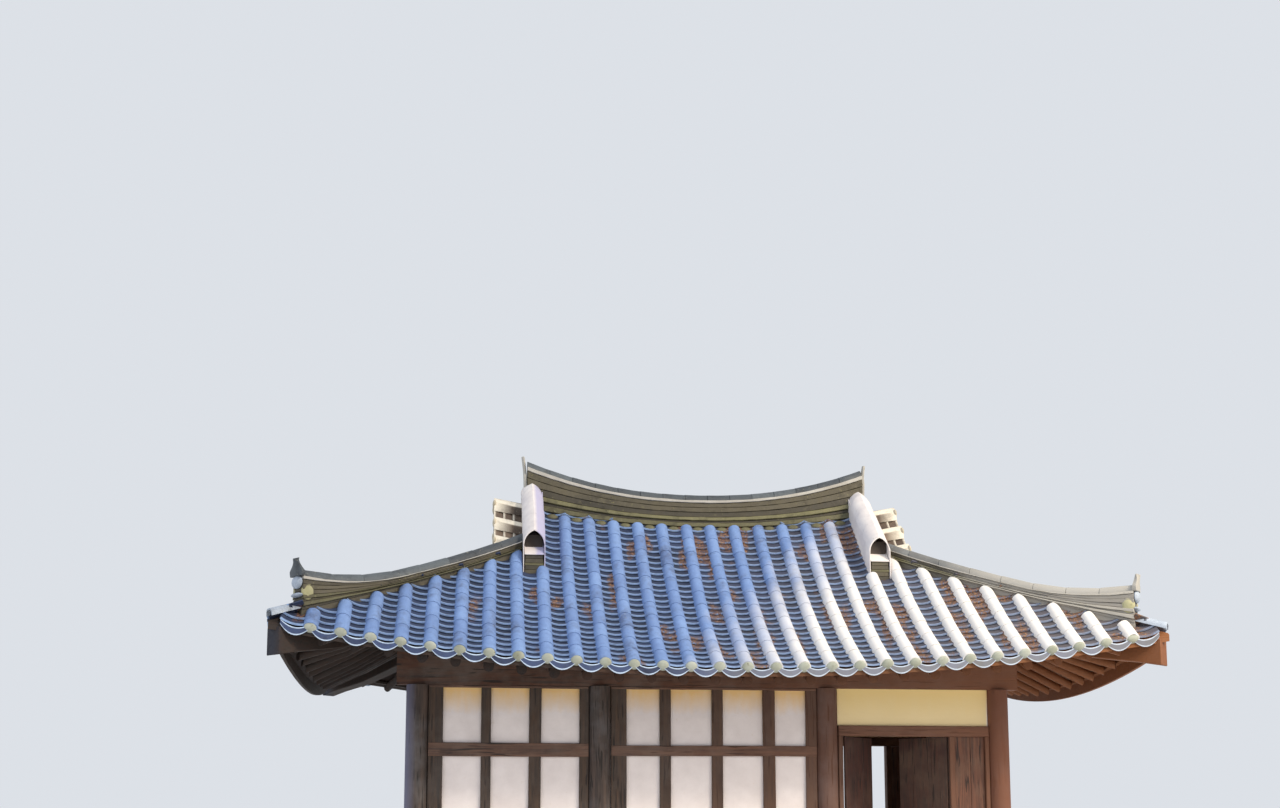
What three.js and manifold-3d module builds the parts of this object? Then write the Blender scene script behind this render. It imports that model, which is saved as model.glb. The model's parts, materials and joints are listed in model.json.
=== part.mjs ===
// Three-bay hanok house with a hip-and-gable tile roof.
// Millimetres. X runs along the front, Y goes from front to back, Z is up, origin on the ground.
import * as THREE from 'three';
import { mergeVertices } from 'three/addons/utils/BufferGeometryUtils.js';
import Module from 'manifold-3d';

const wasm = await Module();
wasm.setup();

// Driving dimensions
// Room left between neighbouring solids, and the shift that clears a cut by more than it
const GAP = 0.3;
const NUDGE = 0.4;
const POST_R = 125;
const POST_X = [-3325, -1300, 1300, 3325];
const POST_Y = 1275;
const FOOTING_H = 350;
const FOOTING_W = 470;
const FLOOR_INSET = 5;
const FLOOR_Z = 450;
const BEAM_Z = 2810;
const BEAM_W = 130;
const PURLIN_R = 115;
const BEAM_REACH = 230;
const WALL_IN = 70;
const WALL_OUT = 20;
const FRAME_OUT = 55;
const WALL_BASE = FOOTING_H + GAP;
const WALL_TOP = BEAM_Z - GAP;

// Panels between the posts of each bay, and the rails that cross them
const SILL_TOP = 520;
const LOW_RAIL = [1190, 1310];
const RAIL_TOP = 2780;
const BAYS = {
  left: {
    x0: POST_X[0],
    x1: POST_X[1],
    panels: [[-3040, -2620], [-2510, -2090], [-1955, -1530]],
    rail: [2020, 2172],
  },
  centre: {
    x0: POST_X[1],
    x1: POST_X[2],
    panels: [[-1000, -626], [-500, -34], [93, 554], [694, 1047]],
    rail: [2032, 2150],
  },
};
const SIDE_PANELS = [[-1040, -585], [-465, -60], [60, 465], [585, 1040]];

const DOOR = { left: 1480, right: 2730, top: 2270, lintel: 2390, sill: 490 };
const PLANK = { left: 2790, right: 3150, thick: 40 };
const LEAF = { thick: 36, clear: 6, pivot: 32, edge: 12, pintle: 10, end: 0.5 };
const LEAF_REST = Math.PI / 4;

const EAVE = { z: 2890, y: 2545, bow: 102, lift: 430, power: 2.1 };
const CORNER_X = 4800;
const SLOPE = { linear: 0.53, square: 0.000116, ridgeLift: 90, ridgeLiftAt: 1650, run: 2400, fade: 3 };
const HIP = { x: 2100, y: 640, grade: 0.743 };
const SIDE_EAVE = { bow: 60, sag: 330 };
const SKIN = { eave: 70, full: 150, grow: 600 };
const VERGE_X = 2500;
const VERGE_LAP = 60;

// Raised rows of cover tiles, with the room they leave to a ridge beside them
const COVER_ROW = { pitch: 300, foot: 62, crown: 40, high: 80, sunk: 18, start: 10, step: 620, room: 10 };

const RIDGE = { half: 2100, z: 5320, rise: 370, power: 2.2, body: 120, foot: 150, skirt: 30, cap: 88 };
const END_PLATE = { thick: 30, half: 95, above: 75, height: 330 };
const GABLE_RIDGE = { x: 2040, width: 254, top: 5415, head: 150, foot: 4640, y: 1050, lap: 100, sunk: 12 };
const CORNER_RIDGE = { width: 220, height: 200, cap: 80, rise: 240, riseFrom: 3500, riseRun: 985, short: 260 };
const CORNER_PLATE = { thick: 30, half: 90, low: 160, high: 630, lean: 0.12 };
const SEAT = 12;
const GABLE_WALL = { x: 2150, thick: 60, reach: 540, up: 60, down: 100 };

const RAFTER = { r: 60, half: 52, slack: 30, pitch: 340, last: 2900, fan: 5, tip: 110, bend: 1900 };
const RAFTER_IN = 175;
const SIDE_RAFTER = { tip: 0.035, count: 6, bend: 4000 };
// Fan rafters run from spread tips to heads close together over the corner post
const FAN = { head: 95, frontFirst: 2960, sideFirst: 850, headStep: 35, sideStep: 290 };
const EAVE_BOARD = { half: 25, thick: 30, top: 3, inset: 150, past: 50, sideAlong: 0.05, sideAcross: 0.95 };
const CORNER_RAFTER = { width: 200, height: 290, top: 5, inX: 150, inY: 155, tip: 40 };

const CROSS_BEAM = { half: 100, height: 290 };
const KING_POST = { half: 75, low: 250, up: 40 };
const RIDGE_PURLIN = { r: 100, reach: 2050, drop: 110 };

const WOOD = new THREE.Color(0x4d3526);
const OLD_WOOD = new THREE.Color(0x5c4a40);
const DOOR_WOOD = new THREE.Color(0x4a2a20);
const PLASTER = new THREE.Color(0xe6e0d4);
const TILE = new THREE.Color(0x8693a8);
const STONE = new THREE.Color(0x9a958c);

const group = new THREE.Group();

// Helpers

function solidOf(geometry) {
  const plain = geometry.clone();
  plain.deleteAttribute('normal');
  plain.deleteAttribute('uv');
  const merged = mergeVertices(plain, 1e-3);
  const mesh = new wasm.Mesh({
    numProp: 3,
    vertProperties: new Float32Array(merged.attributes.position.array),
    triVerts: new Uint32Array(merged.index.array),
  });
  return new wasm.Manifold(mesh);
}

function geometryOf(solid) {
  const mesh = solid.getMesh();
  const geometry = new THREE.BufferGeometry();
  const points = new Float32Array(mesh.vertProperties);
  geometry.setAttribute('position', new THREE.BufferAttribute(points, 3));
  geometry.setIndex(Array.from(mesh.triVerts));
  return geometry;
}

function add(name, shape, color, roughness = 0.8) {
  const geometry = shape.isBufferGeometry ? shape : geometryOf(shape.simplify(0.1));
  const material = new THREE.MeshStandardMaterial({ color, roughness, metalness: 0 });
  const mesh = new THREE.Mesh(geometry, material);
  mesh.name = name;
  group.add(mesh);
  return mesh;
}

function volumeOf(points, triangles) {
  let sum = 0;
  for (const [a, b, c] of triangles) {
    sum += points[a].dot(new THREE.Vector3().crossVectors(points[b], points[c]));
  }
  return sum;
}

// A closed solid from points and triangles, turned so that its faces point out
function closedSolid(points, triangles) {
  const flip = volumeOf(points, triangles) < 0;
  const geometry = new THREE.BufferGeometry();
  const flat = points.flatMap((p) => [p.x, p.y, p.z]);
  geometry.setAttribute('position', new THREE.Float32BufferAttribute(flat, 3));
  geometry.setIndex(triangles.flatMap(([a, b, c]) => (flip ? [a, c, b] : [a, b, c])));
  return solidOf(geometry);
}

// A slab over a grid of cells; inside(i, j) says which cells it fills
function gridSolid(columns, rows, inside, top, bottom) {
  const points = [];
  const index = new Map();
  const triangles = [];
  const corner = (i, j, low) => {
    const key = `${i},${j},${low}`;
    if (!index.has(key)) {
      index.set(key, points.length);
      points.push(low ? bottom(i, j) : top(i, j));
    }
    return index.get(key);
  };
  const full = (i, j) => i >= 0 && j >= 0 && i < columns && j < rows && inside(i, j);
  const wall = (a, b) => {
    const [at, ab, bt, bb] = [corner(...a, 0), corner(...a, 1), corner(...b, 0), corner(...b, 1)];
    triangles.push([at, ab, bb], [at, bb, bt]);
  };
  for (let i = 0; i < columns; i += 1) {
    for (let j = 0; j < rows; j += 1) {
      if (full(i, j)) {
        const ring = [[i, j], [i + 1, j], [i + 1, j + 1], [i, j + 1]];
        const [a, b, c, d] = ring.map((p) => corner(...p, 0));
        const [e, f, g, h] = ring.map((p) => corner(...p, 1));
        triangles.push([a, b, c], [a, c, d], [e, g, f], [e, h, g]);
        if (!full(i, j - 1)) wall(ring[0], ring[1]);
        if (!full(i + 1, j)) wall(ring[1], ring[2]);
        if (!full(i, j + 1)) wall(ring[2], ring[3]);
        if (!full(i - 1, j)) wall(ring[3], ring[0]);
      }
    }
  }
  return closedSolid(points, triangles);
}

// A solid through a row of rings with the same number of points; the outline caps both ends
function loft(rings, outline) {
  const points = rings.flat();
  const n = rings[0].length;
  const triangles = [];
  for (let k = 0; k + 1 < rings.length; k += 1) {
    for (let i = 0; i < n; i += 1) {
      const j = (i + 1) % n;
      const [a, b, c, d] = [k * n + i, k * n + j, (k + 1) * n + j, (k + 1) * n + i];
      triangles.push([a, b, c], [a, c, d]);
    }
  }
  const last = (rings.length - 1) * n;
  const caps = THREE.ShapeUtils.triangulateShape(outline, []);
  const turned = THREE.ShapeUtils.area(outline) > 0;
  for (const [a, b, c] of caps) {
    const [p, q] = turned ? [c, b] : [b, c];
    triangles.push([a, p, q], [last + a, last + q, last + p]);
  }
  return closedSolid(points, triangles);
}

function box(x0, x1, y0, y1, z0, z1) {
  const geometry = new THREE.BoxGeometry(x1 - x0, y1 - y0, z1 - z0);
  geometry.translate((x0 + x1) / 2, (y0 + y1) / 2, (z0 + z1) / 2);
  return geometry;
}

function union(shapes) {
  return shapes.map((s) => (s.isBufferGeometry ? solidOf(s) : s)).reduce((a, b) => a.add(b));
}

function cut(solid, others, shift) {
  return others.reduce((left, other) => left.subtract(other.translate(shift)), solid);
}

function cylinder(r, x, y, z0, z1, sides = 16) {
  const geometry = new THREE.CylinderGeometry(r, r, z1 - z0, sides);
  geometry.rotateX(Math.PI / 2);
  geometry.translate(x, y, (z0 + z1) / 2);
  return geometry;
}

// A plate in the XZ plane with rectangular holes, from y0 to y1
function plate(x0, x1, z0, z1, holes, y0, y1) {
  const whole = solidOf(box(x0, x1, y0, y1, z0, z1));
  const cuts = holes.map(([a, b, c, d]) => solidOf(box(a, b, y0 - 1, y1 + 1, c, d)));
  return geometryOf(cuts.reduce((left, hole) => left.subtract(hole), whole));
}

// Roof surface

const frac = (value, span) => Math.abs(value) / span;

function eaveY(x) {
  return EAVE.y + EAVE.bow * frac(x, CORNER_X) ** 2;
}

// Top of the front or back slope, inset back from the eave
function slopeZ(x, inset) {
  const low = EAVE.lift * frac(x, CORNER_X) ** EAVE.power;
  const high = SLOPE.ridgeLift * frac(x, SLOPE.ridgeLiftAt) ** 2;
  const mix = inset / SLOPE.run;
  const fade = 1 - Math.max(0, mix) ** SLOPE.fade;
  return EAVE.z + SLOPE.linear * inset + SLOPE.square * inset ** 2 + low * fade + high * mix;
}

function frontZ(x, y) {
  return slopeZ(x, eaveY(x) - Math.abs(y));
}

function hipY(x) {
  return HIP.y + HIP.grade * (Math.abs(x) - HIP.x);
}

function skin(inset) {
  return SKIN.eave + (SKIN.full - SKIN.eave) * Math.min(1, Math.max(0, inset) / SKIN.grow);
}

// Columns along X, denser over the wings, and the corner where eave and hip meet
const CORNER_END = cornerEnd();
function cornerEnd() {
  let x = CORNER_X;
  while (eaveY(x) - hipY(x) < 25) x -= 5;
  return x;
}
const HALF_COLUMNS = [0, 450, 900, 1350, 1800, HIP.x, VERGE_X, 2900, 3300, 3700, 4100, 4450, CORNER_END];
const COLUMNS = [...HALF_COLUMNS.slice(1).reverse().map((x) => -x), ...HALF_COLUMNS];
const LOW_ROWS = [0, 0.1, 0.35, 0.65, 1];
const HIGH_ROWS = [0.3, 0.65, 1];

function slopeNode(sign) {
  const rows = LOW_ROWS.length + HIGH_ROWS.length - 1;
  const spot = (i, j) => {
    const x = COLUMNS[i];
    const hip = hipY(Math.max(Math.abs(x), HIP.x));
    if (j < LOW_ROWS.length) {
      return [x, eaveY(x) + (hip - eaveY(x)) * LOW_ROWS[j]];
    }
    return [x, hip + (GAP - hip) * HIGH_ROWS[j - LOW_ROWS.length]];
  };
  const inside = (i, j) => {
    const reach = Math.max(Math.abs(COLUMNS[i]), Math.abs(COLUMNS[i + 1]));
    return j < LOW_ROWS.length - 1 || reach <= VERGE_X;
  };
  const top = (i, j) => {
    const [x, y] = spot(i, j);
    return new THREE.Vector3(x, sign * y, frontZ(x, y));
  };
  const bottom = (i, j) => {
    const [x, y] = spot(i, j);
    return new THREE.Vector3(x, sign * y, frontZ(x, y) - skin(eaveY(x) - y));
  };
  return gridSolid(COLUMNS.length - 1, rows, inside, top, bottom);
}

// A point of the side slope: along 0 at the eave to 1 at the gable, across -1 to 1
function sidePoint(sign, along, across) {
  const x = CORNER_END + (HIP.x - CORNER_END) * along;
  const bulge = 1 - across ** 2;
  const fade = (1 - along) ** 2;
  const bow = SIDE_EAVE.bow * bulge * fade;
  const z = frontZ(x, hipY(x)) - SIDE_EAVE.sag * bulge * fade;
  return new THREE.Vector3(sign * (x - bow), across * (hipY(x) - GAP), z);
}

const SIDE_XS = HALF_COLUMNS.filter((x) => x >= HIP.x).reverse();
const SIDE_ROWS = SIDE_XS.map((x) => (CORNER_END - x) / (CORNER_END - HIP.x));
const SIDE_COLUMNS = 14;

function sideNode(sign) {
  const across = (i) => -1 + (2 * i) / SIDE_COLUMNS;
  const top = (i, j) => sidePoint(sign, SIDE_ROWS[j], across(i));
  const bottom = (i, j) => {
    const p = top(i, j);
    p.z -= skin(SIDE_ROWS[j] * (CORNER_END - HIP.x));
    return p;
  };
  return gridSolid(SIDE_COLUMNS, SIDE_ROWS.length - 1, () => true, top, bottom);
}

const frontSlope = slopeNode(-1);
const backSlope = slopeNode(1);
const slopes = [frontSlope, backSlope];
const DOWN = [0, 0, -NUDGE];
const UP = [0, 0, NUDGE];
const BESIDE = [[NUDGE, 0, 0], [-NUDGE, 0, 0], [0, NUDGE, 0], [0, -NUDGE, 0]];
const [leftSlope, rightSlope] = [-1, 1].map((sign) => {
  return largest([...BESIDE, DOWN].reduce((left, shift) => cut(left, slopes, shift), sideNode(sign)));
});
const allSlopes = [frontSlope, backSlope, leftSlope, rightSlope];

// Top of the hipped surface at any point of the plan, and its distance from the eave
function roofAt(x, y) {
  const ax = Math.abs(x);
  const ay = Math.abs(y);
  if (ax <= HIP.x || ay >= hipY(ax)) return { z: frontZ(ax, ay), inset: eaveY(ax) - ay };
  let at = ax;
  for (let k = 0; k < 8; k += 1) {
    const along = (CORNER_END - at) / (CORNER_END - HIP.x);
    const across = Math.min(1, ay / hipY(at));
    at = Math.min(CORNER_END, ax + SIDE_EAVE.bow * (1 - across ** 2) * (1 - along) ** 2);
  }
  const along = (CORNER_END - at) / (CORNER_END - HIP.x);
  const across = Math.min(1, ay / hipY(at));
  return { z: sidePoint(1, along, across).z, inset: CORNER_END - at };
}

function undersideZ(x, y) {
  const { z, inset } = roofAt(x, y);
  return z - skin(inset);
}

// The surface that a ridge stands on, with the verge over the side slope
function seatZ(x, y) {
  return Math.abs(x) < VERGE_X + VERGE_LAP ? Math.max(frontZ(x, y), roofAt(x, y).z) : roofAt(x, y).z;
}

const V = (x, y, z) => new THREE.Vector3(x, y, z);
const arc = (r, from, to, steps) => Array.from({ length: steps + 1 }, (_, k) => {
  const angle = from + ((to - from) * k) / steps;
  return new THREE.Vector2(r * Math.cos(angle), r * Math.sin(angle));
});

// Sweeps an outline along a path; the outline's x runs across the path, its y runs up
function sweep(path, outline, heights = null) {
  const rings = path.map((p, k) => {
    const ahead = path[Math.min(k + 1, path.length - 1)];
    const behind = path[Math.max(k - 1, 0)];
    const side = V(-(ahead.y - behind.y), ahead.x - behind.x, 0).normalize();
    const ring = heights ? heights(k) : outline;
    return ring.map((q) => V(p.x + side.x * q.x, p.y + side.y * q.x, p.z + q.y));
  });
  return loft(rings, outline);
}

// Stone footing and timber floor
function addBase() {
  const x = POST_X[3] + FOOTING_W / 2;
  const y = POST_Y + FOOTING_W / 2;
  const outer = solidOf(box(-x, x, -y, y, 0, FOOTING_H));
  const inner = box(-x + FOOTING_W, x - FOOTING_W, -y + FOOTING_W, y - FOOTING_W, -10, FOOTING_H + 10);
  add('stone_footing', outer.subtract(solidOf(inner)), STONE, 0.95);
  const fx = POST_X[3] - POST_R - FLOOR_INSET;
  const fy = POST_Y - POST_R - FLOOR_INSET;
  add('timber_floor', box(-fx, fx, -fy, fy, FOOTING_H + GAP, FLOOR_Z), WOOD);
}

function addPosts() {
  const names = ['far_left', 'left', 'right', 'far_right'];
  for (const [row, sign] of [['front', -1], ['back', 1]]) {
    POST_X.forEach((x, k) => {
      const post = cylinder(POST_R, x, sign * POST_Y, FOOTING_H + GAP, BEAM_Z - GAP);
      add(`${row}_post_${names[k]}`, post, OLD_WOOD);
    });
  }
}

// Walls

function latticeHoles(panels, rail) {
  const rows = [[SILL_TOP, LOW_RAIL[0]], [LOW_RAIL[1], rail[0]], [rail[1], RAIL_TOP]];
  return panels.flatMap(([a, b]) => rows.map(([c, d]) => [a, b, c, d]));
}

// Depths of a layer of the wall, from the inner face to the outer one, on the front or back
function layer(sign, inner, outer) {
  const [a, b] = [sign * (POST_Y + inner), sign * (POST_Y + outer)];
  return [Math.min(a, b), Math.max(a, b)];
}

function addBay(row, sign, name) {
  const bay = BAYS[name];
  const [x0, x1] = [bay.x0 + POST_R + GAP, bay.x1 - POST_R - GAP];
  const plaster = plate(x0, x1, WALL_BASE, WALL_TOP, [], ...layer(sign, -WALL_IN, WALL_OUT));
  add(`${row}_wall_${name}`, plaster, PLASTER, 0.9);
  const holes = latticeHoles(bay.panels, bay.rail);
  const bars = plate(x0, x1, WALL_BASE, WALL_TOP, holes, ...layer(sign, WALL_OUT + GAP, FRAME_OUT));
  add(`${row}_wall_frame_${name}`, bars, WOOD);
}

function addDoorBay(row, sign) {
  const [x0, x1] = [POST_X[2] + POST_R + GAP, POST_X[3] - POST_R - GAP];
  const above = plate(x0, x1, DOOR.lintel + GAP, WALL_TOP, [], ...layer(sign, -WALL_IN, WALL_OUT));
  add(`${row}_wall_over_door`, above, PLASTER, 0.9);
  const holes = [
    [DOOR.left, DOOR.right, DOOR.sill, DOOR.top],
    [PLANK.left, PLANK.right, DOOR.sill, DOOR.top],
  ];
  const frame = plate(x0, x1, WALL_BASE, DOOR.lintel, holes, ...layer(sign, -WALL_IN, FRAME_OUT));
  add(`${row}_door_frame`, frame, WOOD);
  const planks = plate(
    PLANK.left + GAP, PLANK.right - GAP, DOOR.sill + GAP, DOOR.top - GAP, [],
    ...layer(sign, -PLANK.thick / 2, PLANK.thick / 2),
  );
  add(`${row}_plank_panel`, planks, DOOR_WOOD);
}

function addSideWall(name, sign) {
  const reach = POST_Y - POST_R - GAP;
  const place = (geometry, inner, outer) => {
    geometry.rotateZ(Math.PI / 2);
    geometry.translate(sign * (POST_X[3] + (inner + outer) / 2), 0, 0);
    return geometry;
  };
  const make = (holes, inner, outer) => {
    const half = (outer - inner) / 2;
    return place(plate(-reach, reach, WALL_BASE, WALL_TOP, holes, -half, half), inner, outer);
  };
  add(`${name}_wall`, make([], -WALL_IN, WALL_OUT), PLASTER, 0.9);
  const holes = latticeHoles(SIDE_PANELS, BAYS.centre.rail);
  add(`${name}_wall_frame`, make(holes, WALL_OUT + GAP, FRAME_OUT), WOOD);
}

// Door leaves, turned open about the pivots at their outer edges
function addLeaf(name, side) {
  const pivotX = side < 0 ? DOOR.left + LEAF.pivot : DOOR.right - LEAF.pivot;
  const width = (DOOR.right - DOOR.left) / 2 - LEAF.edge - LEAF.clear / 2;
  const start = LEAF.edge - LEAF.pivot;
  const [a, b] = side < 0 ? [start, start + width] : [-start - width, -start];
  const [z0, z1] = [DOOR.sill + LEAF.clear, DOOR.top - LEAF.clear];
  const board = box(a, b, -LEAF.thick / 2, LEAF.thick / 2, z0, z1);
  const pin = (low, high) => cylinder(LEAF.pintle, 0, 0, low, high, 12);
  const low = pin(DOOR.sill + LEAF.end, z0 + LEAF.clear);
  const high = pin(z1 - LEAF.clear, DOOR.top - LEAF.end);
  const mesh = add(name, union([board, low, high]), DOOR_WOOD);
  mesh.position.set(pivotX, -POST_Y, 0);
  mesh.rotation.z = side < 0 ? LEAF_REST : -LEAF_REST;
}

// Beams with the round purlin on top, following the underside of the rafters
const RAFTER_DROP = 2 * RAFTER.half + RAFTER.slack - 2;

function beamRing(top, grow) {
  const half = BEAM_W / 2 + grow;
  const r = PURLIN_R + grow;
  const shoulder = Math.asin(half / r);
  const centre = top - PURLIN_R;
  const round = arc(r, -Math.PI / 2 + shoulder, 1.5 * Math.PI - shoulder, 10);
  const ring = round.map((p) => new THREE.Vector2(p.x, p.y + centre));
  const foot = [1, -1].map((s) => new THREE.Vector2(s * half, WALL_TOP + 2 * GAP - grow));
  return [foot[0], ...ring, foot[1]];
}

function beam(points, grow) {
  const rings = points.map((p) => beamRing(undersideZ(p.x, p.y) - RAFTER_DROP, grow));
  return sweep(points, rings[0], (k) => rings[k]);
}

// The four beams, front and back first; grown ones cut the room that neighbours leave
function ringBeams(grow) {
  const reach = POST_X[3] + BEAM_REACH + grow;
  const endY = POST_Y - PURLIN_R - GAP + grow;
  const long = [-1, 1].map((sign) => spread(-reach, reach, 16).map((x) => V(x, sign * POST_Y, 0)));
  const short = [-1, 1].map((sign) => spread(-endY, endY, 6).map((y) => V(sign * POST_X[3], y, 0)));
  return [...long, ...short].map((points) => beam(points, grow));
}

function spread(from, to, steps) {
  return Array.from({ length: steps + 1 }, (_, k) => from + ((to - from) * k) / steps);
}

// Rafters, their eave boards and the corner rafters

// A rafter through points of the plan, with its flat crown just under the roof skin
function rafter(...plan) {
  const path = plan.map(([x, y]) => V(x, y, undersideZ(x, y) - RAFTER.half - RAFTER.slack));
  return sweep(path, arc(RAFTER.r, 0, (2 * Math.PI * 5) / 6, 5));
}

// The point of a line in plan where it crosses y
function crossing(from, to, y) {
  const t = (y - from[1]) / (to[1] - from[1]);
  return [from[0] + (to[0] - from[0]) * t, y];
}

// The outline of a bar under a surface, from its lower to its upper edge
function barOutline(half, low, high) {
  return [[-half, low], [half, low], [half, high], [-half, high]].map((p) => new THREE.Vector2(...p));
}

function eaveBoard(points) {
  const outline = barOutline(EAVE_BOARD.half, -EAVE_BOARD.thick, -EAVE_BOARD.top);
  return sweep(points.map(([x, y]) => V(x, y, undersideZ(x, y))), outline);
}

function cornerRafter(sx, sy) {
  const from = [POST_X[3] - CORNER_RAFTER.inX, POST_Y - CORNER_RAFTER.inY];
  const to = [CORNER_END - CORNER_RAFTER.tip, eaveY(CORNER_END) - CORNER_RAFTER.tip];
  const path = spread(0, 1, 5).map((t) => {
    const x = from[0] + (to[0] - from[0]) * t;
    const y = from[1] + (to[1] - from[1]) * t;
    return V(sx * x, sy * y, undersideZ(x, y));
  });
  return sweep(path, barOutline(CORNER_RAFTER.width / 2, -CORNER_RAFTER.height, CORNER_RAFTER.top));
}

function frontRafters(sign, corners) {
  const parts = [];
  for (let x = RAFTER.pitch / 2; x <= RAFTER.last; x += RAFTER.pitch) {
    const stations = [eaveY(x) - RAFTER.tip, RAFTER.bend, POST_Y - RAFTER_IN];
    for (const sx of [-1, 1]) parts.push(rafter(...stations.map((y) => [sx * x, sign * y])));
  }
  const fanFrom = RAFTER.last - 10;
  for (let k = 1; k < RAFTER.fan; k += 1) {
    const x = fanFrom + RAFTER.pitch * k;
    for (const sx of [-1, 1]) {
      const from = [sx * x, sign * (eaveY(x) - RAFTER.tip)];
      const to = [sx * (FAN.frontFirst + FAN.headStep * k), sign * (POST_Y - FAN.head)];
      const middle = crossing(from, to, sign * RAFTER.bend);
      parts.push(largest(clear(rafter(from, middle, to), corners)));
    }
  }
  const end = RAFTER.last + RAFTER.pitch * (RAFTER.fan - 1) + EAVE_BOARD.past;
  const xs = [-end, ...COLUMNS.filter((x) => Math.abs(x) < end), end];
  parts.push(eaveBoard(xs.map((x) => [x, sign * (eaveY(x) - EAVE_BOARD.inset)])));
  return union(parts);
}

function sideRafters(sign, corners) {
  const tipAt = (y) => [sign * Math.abs(sidePoint(1, SIDE_RAFTER.tip, y / hipY(CORNER_END)).x), y];
  const parts = [...corners];
  for (let k = 0; k < SIDE_RAFTER.count; k += 1) {
    const y = (k - (SIDE_RAFTER.count - 1) / 2) * RAFTER.pitch;
    const stations = [tipAt(y)[0], sign * SIDE_RAFTER.bend, sign * (POST_X[3] - RAFTER_IN)];
    parts.push(rafter(...stations.map((x) => [x, y])));
  }
  for (let k = 1; k < RAFTER.fan; k += 1) {
    for (const sy of [-1, 1]) {
      const from = tipAt(sy * (FAN.sideFirst + FAN.sideStep * k));
      const to = [sign * (POST_X[3] - FAN.head), sy * (FAN.sideFirst + FAN.headStep * k)];
      parts.push(rafter(from, [(from[0] + to[0]) / 2, (from[1] + to[1]) / 2], to));
    }
  }
  const ys = spread(-EAVE_BOARD.sideAcross, EAVE_BOARD.sideAcross, 10);
  parts.push(eaveBoard(ys.map((across) => {
    const p = sidePoint(sign, EAVE_BOARD.sideAlong, across);
    return [p.x, p.y];
  })));
  return union(parts);
}

function largest(solid) {
  return solid.decompose().sort((a, b) => b.volume() - a.volume())[0];
}

function clear(solid, others) {
  return [...BESIDE, UP, DOWN].reduce((left, shift) => cut(left, others, shift), solid);
}

// Main cross beams, king posts and ridge purlin
function roofTruss() {
  const level = (x) => frontZ(x, 0) - SKIN.full - RIDGE_PURLIN.drop;
  const line = spread(-RIDGE_PURLIN.reach, RIDGE_PURLIN.reach, 8).map((x) => V(x, 0, level(x)));
  const parts = [sweep(line, arc(RIDGE_PURLIN.r, 0, (Math.PI * 7) / 4, 7))];
  const [wide, narrow] = [CROSS_BEAM.half, KING_POST.half];
  for (const x of [POST_X[1], POST_X[2]]) {
    const reach = POST_Y - BEAM_W / 2 - 1;
    parts.push(box(x - wide, x + wide, -reach, reach, BEAM_Z + GAP, BEAM_Z + CROSS_BEAM.height));
    const high = level(x) - KING_POST.up;
    parts.push(box(x - narrow, x + narrow, -narrow, narrow, BEAM_Z + KING_POST.low, high));
  }
  return union(parts);
}

function addTimberRoof() {
  const beams = ringBeams(0);
  const room = ringBeams(NUDGE);
  const beside = (solid) => room.reduce((left, other) => left.subtract(other), solid);
  const truss = cut(beside(roofTruss()), allSlopes, DOWN);
  add('front_beam', cut(beams[0], allSlopes, DOWN), WOOD);
  add('back_beam', cut(beams[1], allSlopes, DOWN), WOOD);
  add('left_beam', beams[2], WOOD);
  add('right_beam', beams[3], WOOD);
  add('roof_truss', truss, WOOD);
  const corners = [-1, 1].map((sx) => [-1, 1].map((sy) => {
    return largest(clear(beside(cornerRafter(sx, sy)), allSlopes));
  }));
  const seat = (solid) => cut(beside(solid), allSlopes, DOWN);
  const sides = [-1, 1].map((sign, k) => seat(sideRafters(sign, corners[k])));
  const fronts = [-1, 1].map((sign) => seat(frontRafters(sign, corners.flat())));
  add('left_rafters', sides[0], WOOD);
  add('right_rafters', sides[1], WOOD);
  add('front_rafters', fronts[0], WOOD);
  add('back_rafters', fronts[1], WOOD);
}

// Cover-tile rows

// A raised row along a line of the roof surface, its foot sunk in the slope
function coverRow(points) {
  const { foot, crown, high, sunk } = COVER_ROW;
  const outline = [[-foot, -sunk], [foot, -sunk], [crown, high], [-crown, high]];
  return sweep(points, outline.map((p) => new THREE.Vector2(...p)));
}

// Stations from one value to another, about one step apart
function stations(from, to) {
  return spread(from, to, Math.max(1, Math.round(Math.abs(to - from) / COVER_ROW.step)));
}

// Half the width of a corner ridge, measured along Y, with the room beside it
const CORNER_ROOM = (CORNER_RIDGE.width / 2) * Math.hypot(1, HIP.grade) + COVER_ROW.room;

function rowCentres(reach) {
  const count = Math.floor((reach - COVER_ROW.pitch / 2) / COVER_ROW.pitch) + 1;
  return Array.from({ length: count }, (_, k) => COVER_ROW.pitch * (k + 0.5));
}

function frontRows(sign) {
  const rows = [];
  const gableEdge = GABLE_RIDGE.x - GABLE_RIDGE.width / 2 - COVER_ROW.foot;
  for (const x of rowCentres(CORNER_END)) {
    let end = RIDGE.foot + COVER_ROW.room;
    if (x > gableEdge) end = GABLE_RIDGE.y + COVER_ROW.room;
    if (x > HIP.x) end = hipY(x + COVER_ROW.foot) + CORNER_ROOM;
    const start = eaveY(x) - COVER_ROW.start;
    if (start - end < COVER_ROW.foot) continue;
    for (const sx of [-1, 1]) {
      rows.push(coverRow(stations(start, end).map((y) => V(sx * x, sign * y, frontZ(x, y)))));
    }
  }
  return rows;
}

function sideRows(sign) {
  const rows = [];
  for (const y of rowCentres(hipY(CORNER_END))) {
    const pastHip = HIP.x + (y + COVER_ROW.foot - HIP.y + CORNER_ROOM) / HIP.grade;
    const pastGable = GABLE_WALL.x + GABLE_WALL.thick + COVER_ROW.room;
    const pastVerge = y > GABLE_WALL.reach ? VERGE_X + COVER_ROW.room : pastGable;
    const end = Math.max(pastHip, pastVerge);
    const start = CORNER_END - COVER_ROW.start;
    if (start - end < COVER_ROW.foot) continue;
    for (const sy of [-1, 1]) {
      rows.push(coverRow(stations(start, end).map((x) => {
        return sidePoint(sign, (CORNER_END - x) / (CORNER_END - HIP.x), (sy * y) / hipY(x));
      })));
    }
  }
  return rows;
}

// Ridges and gables

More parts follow.
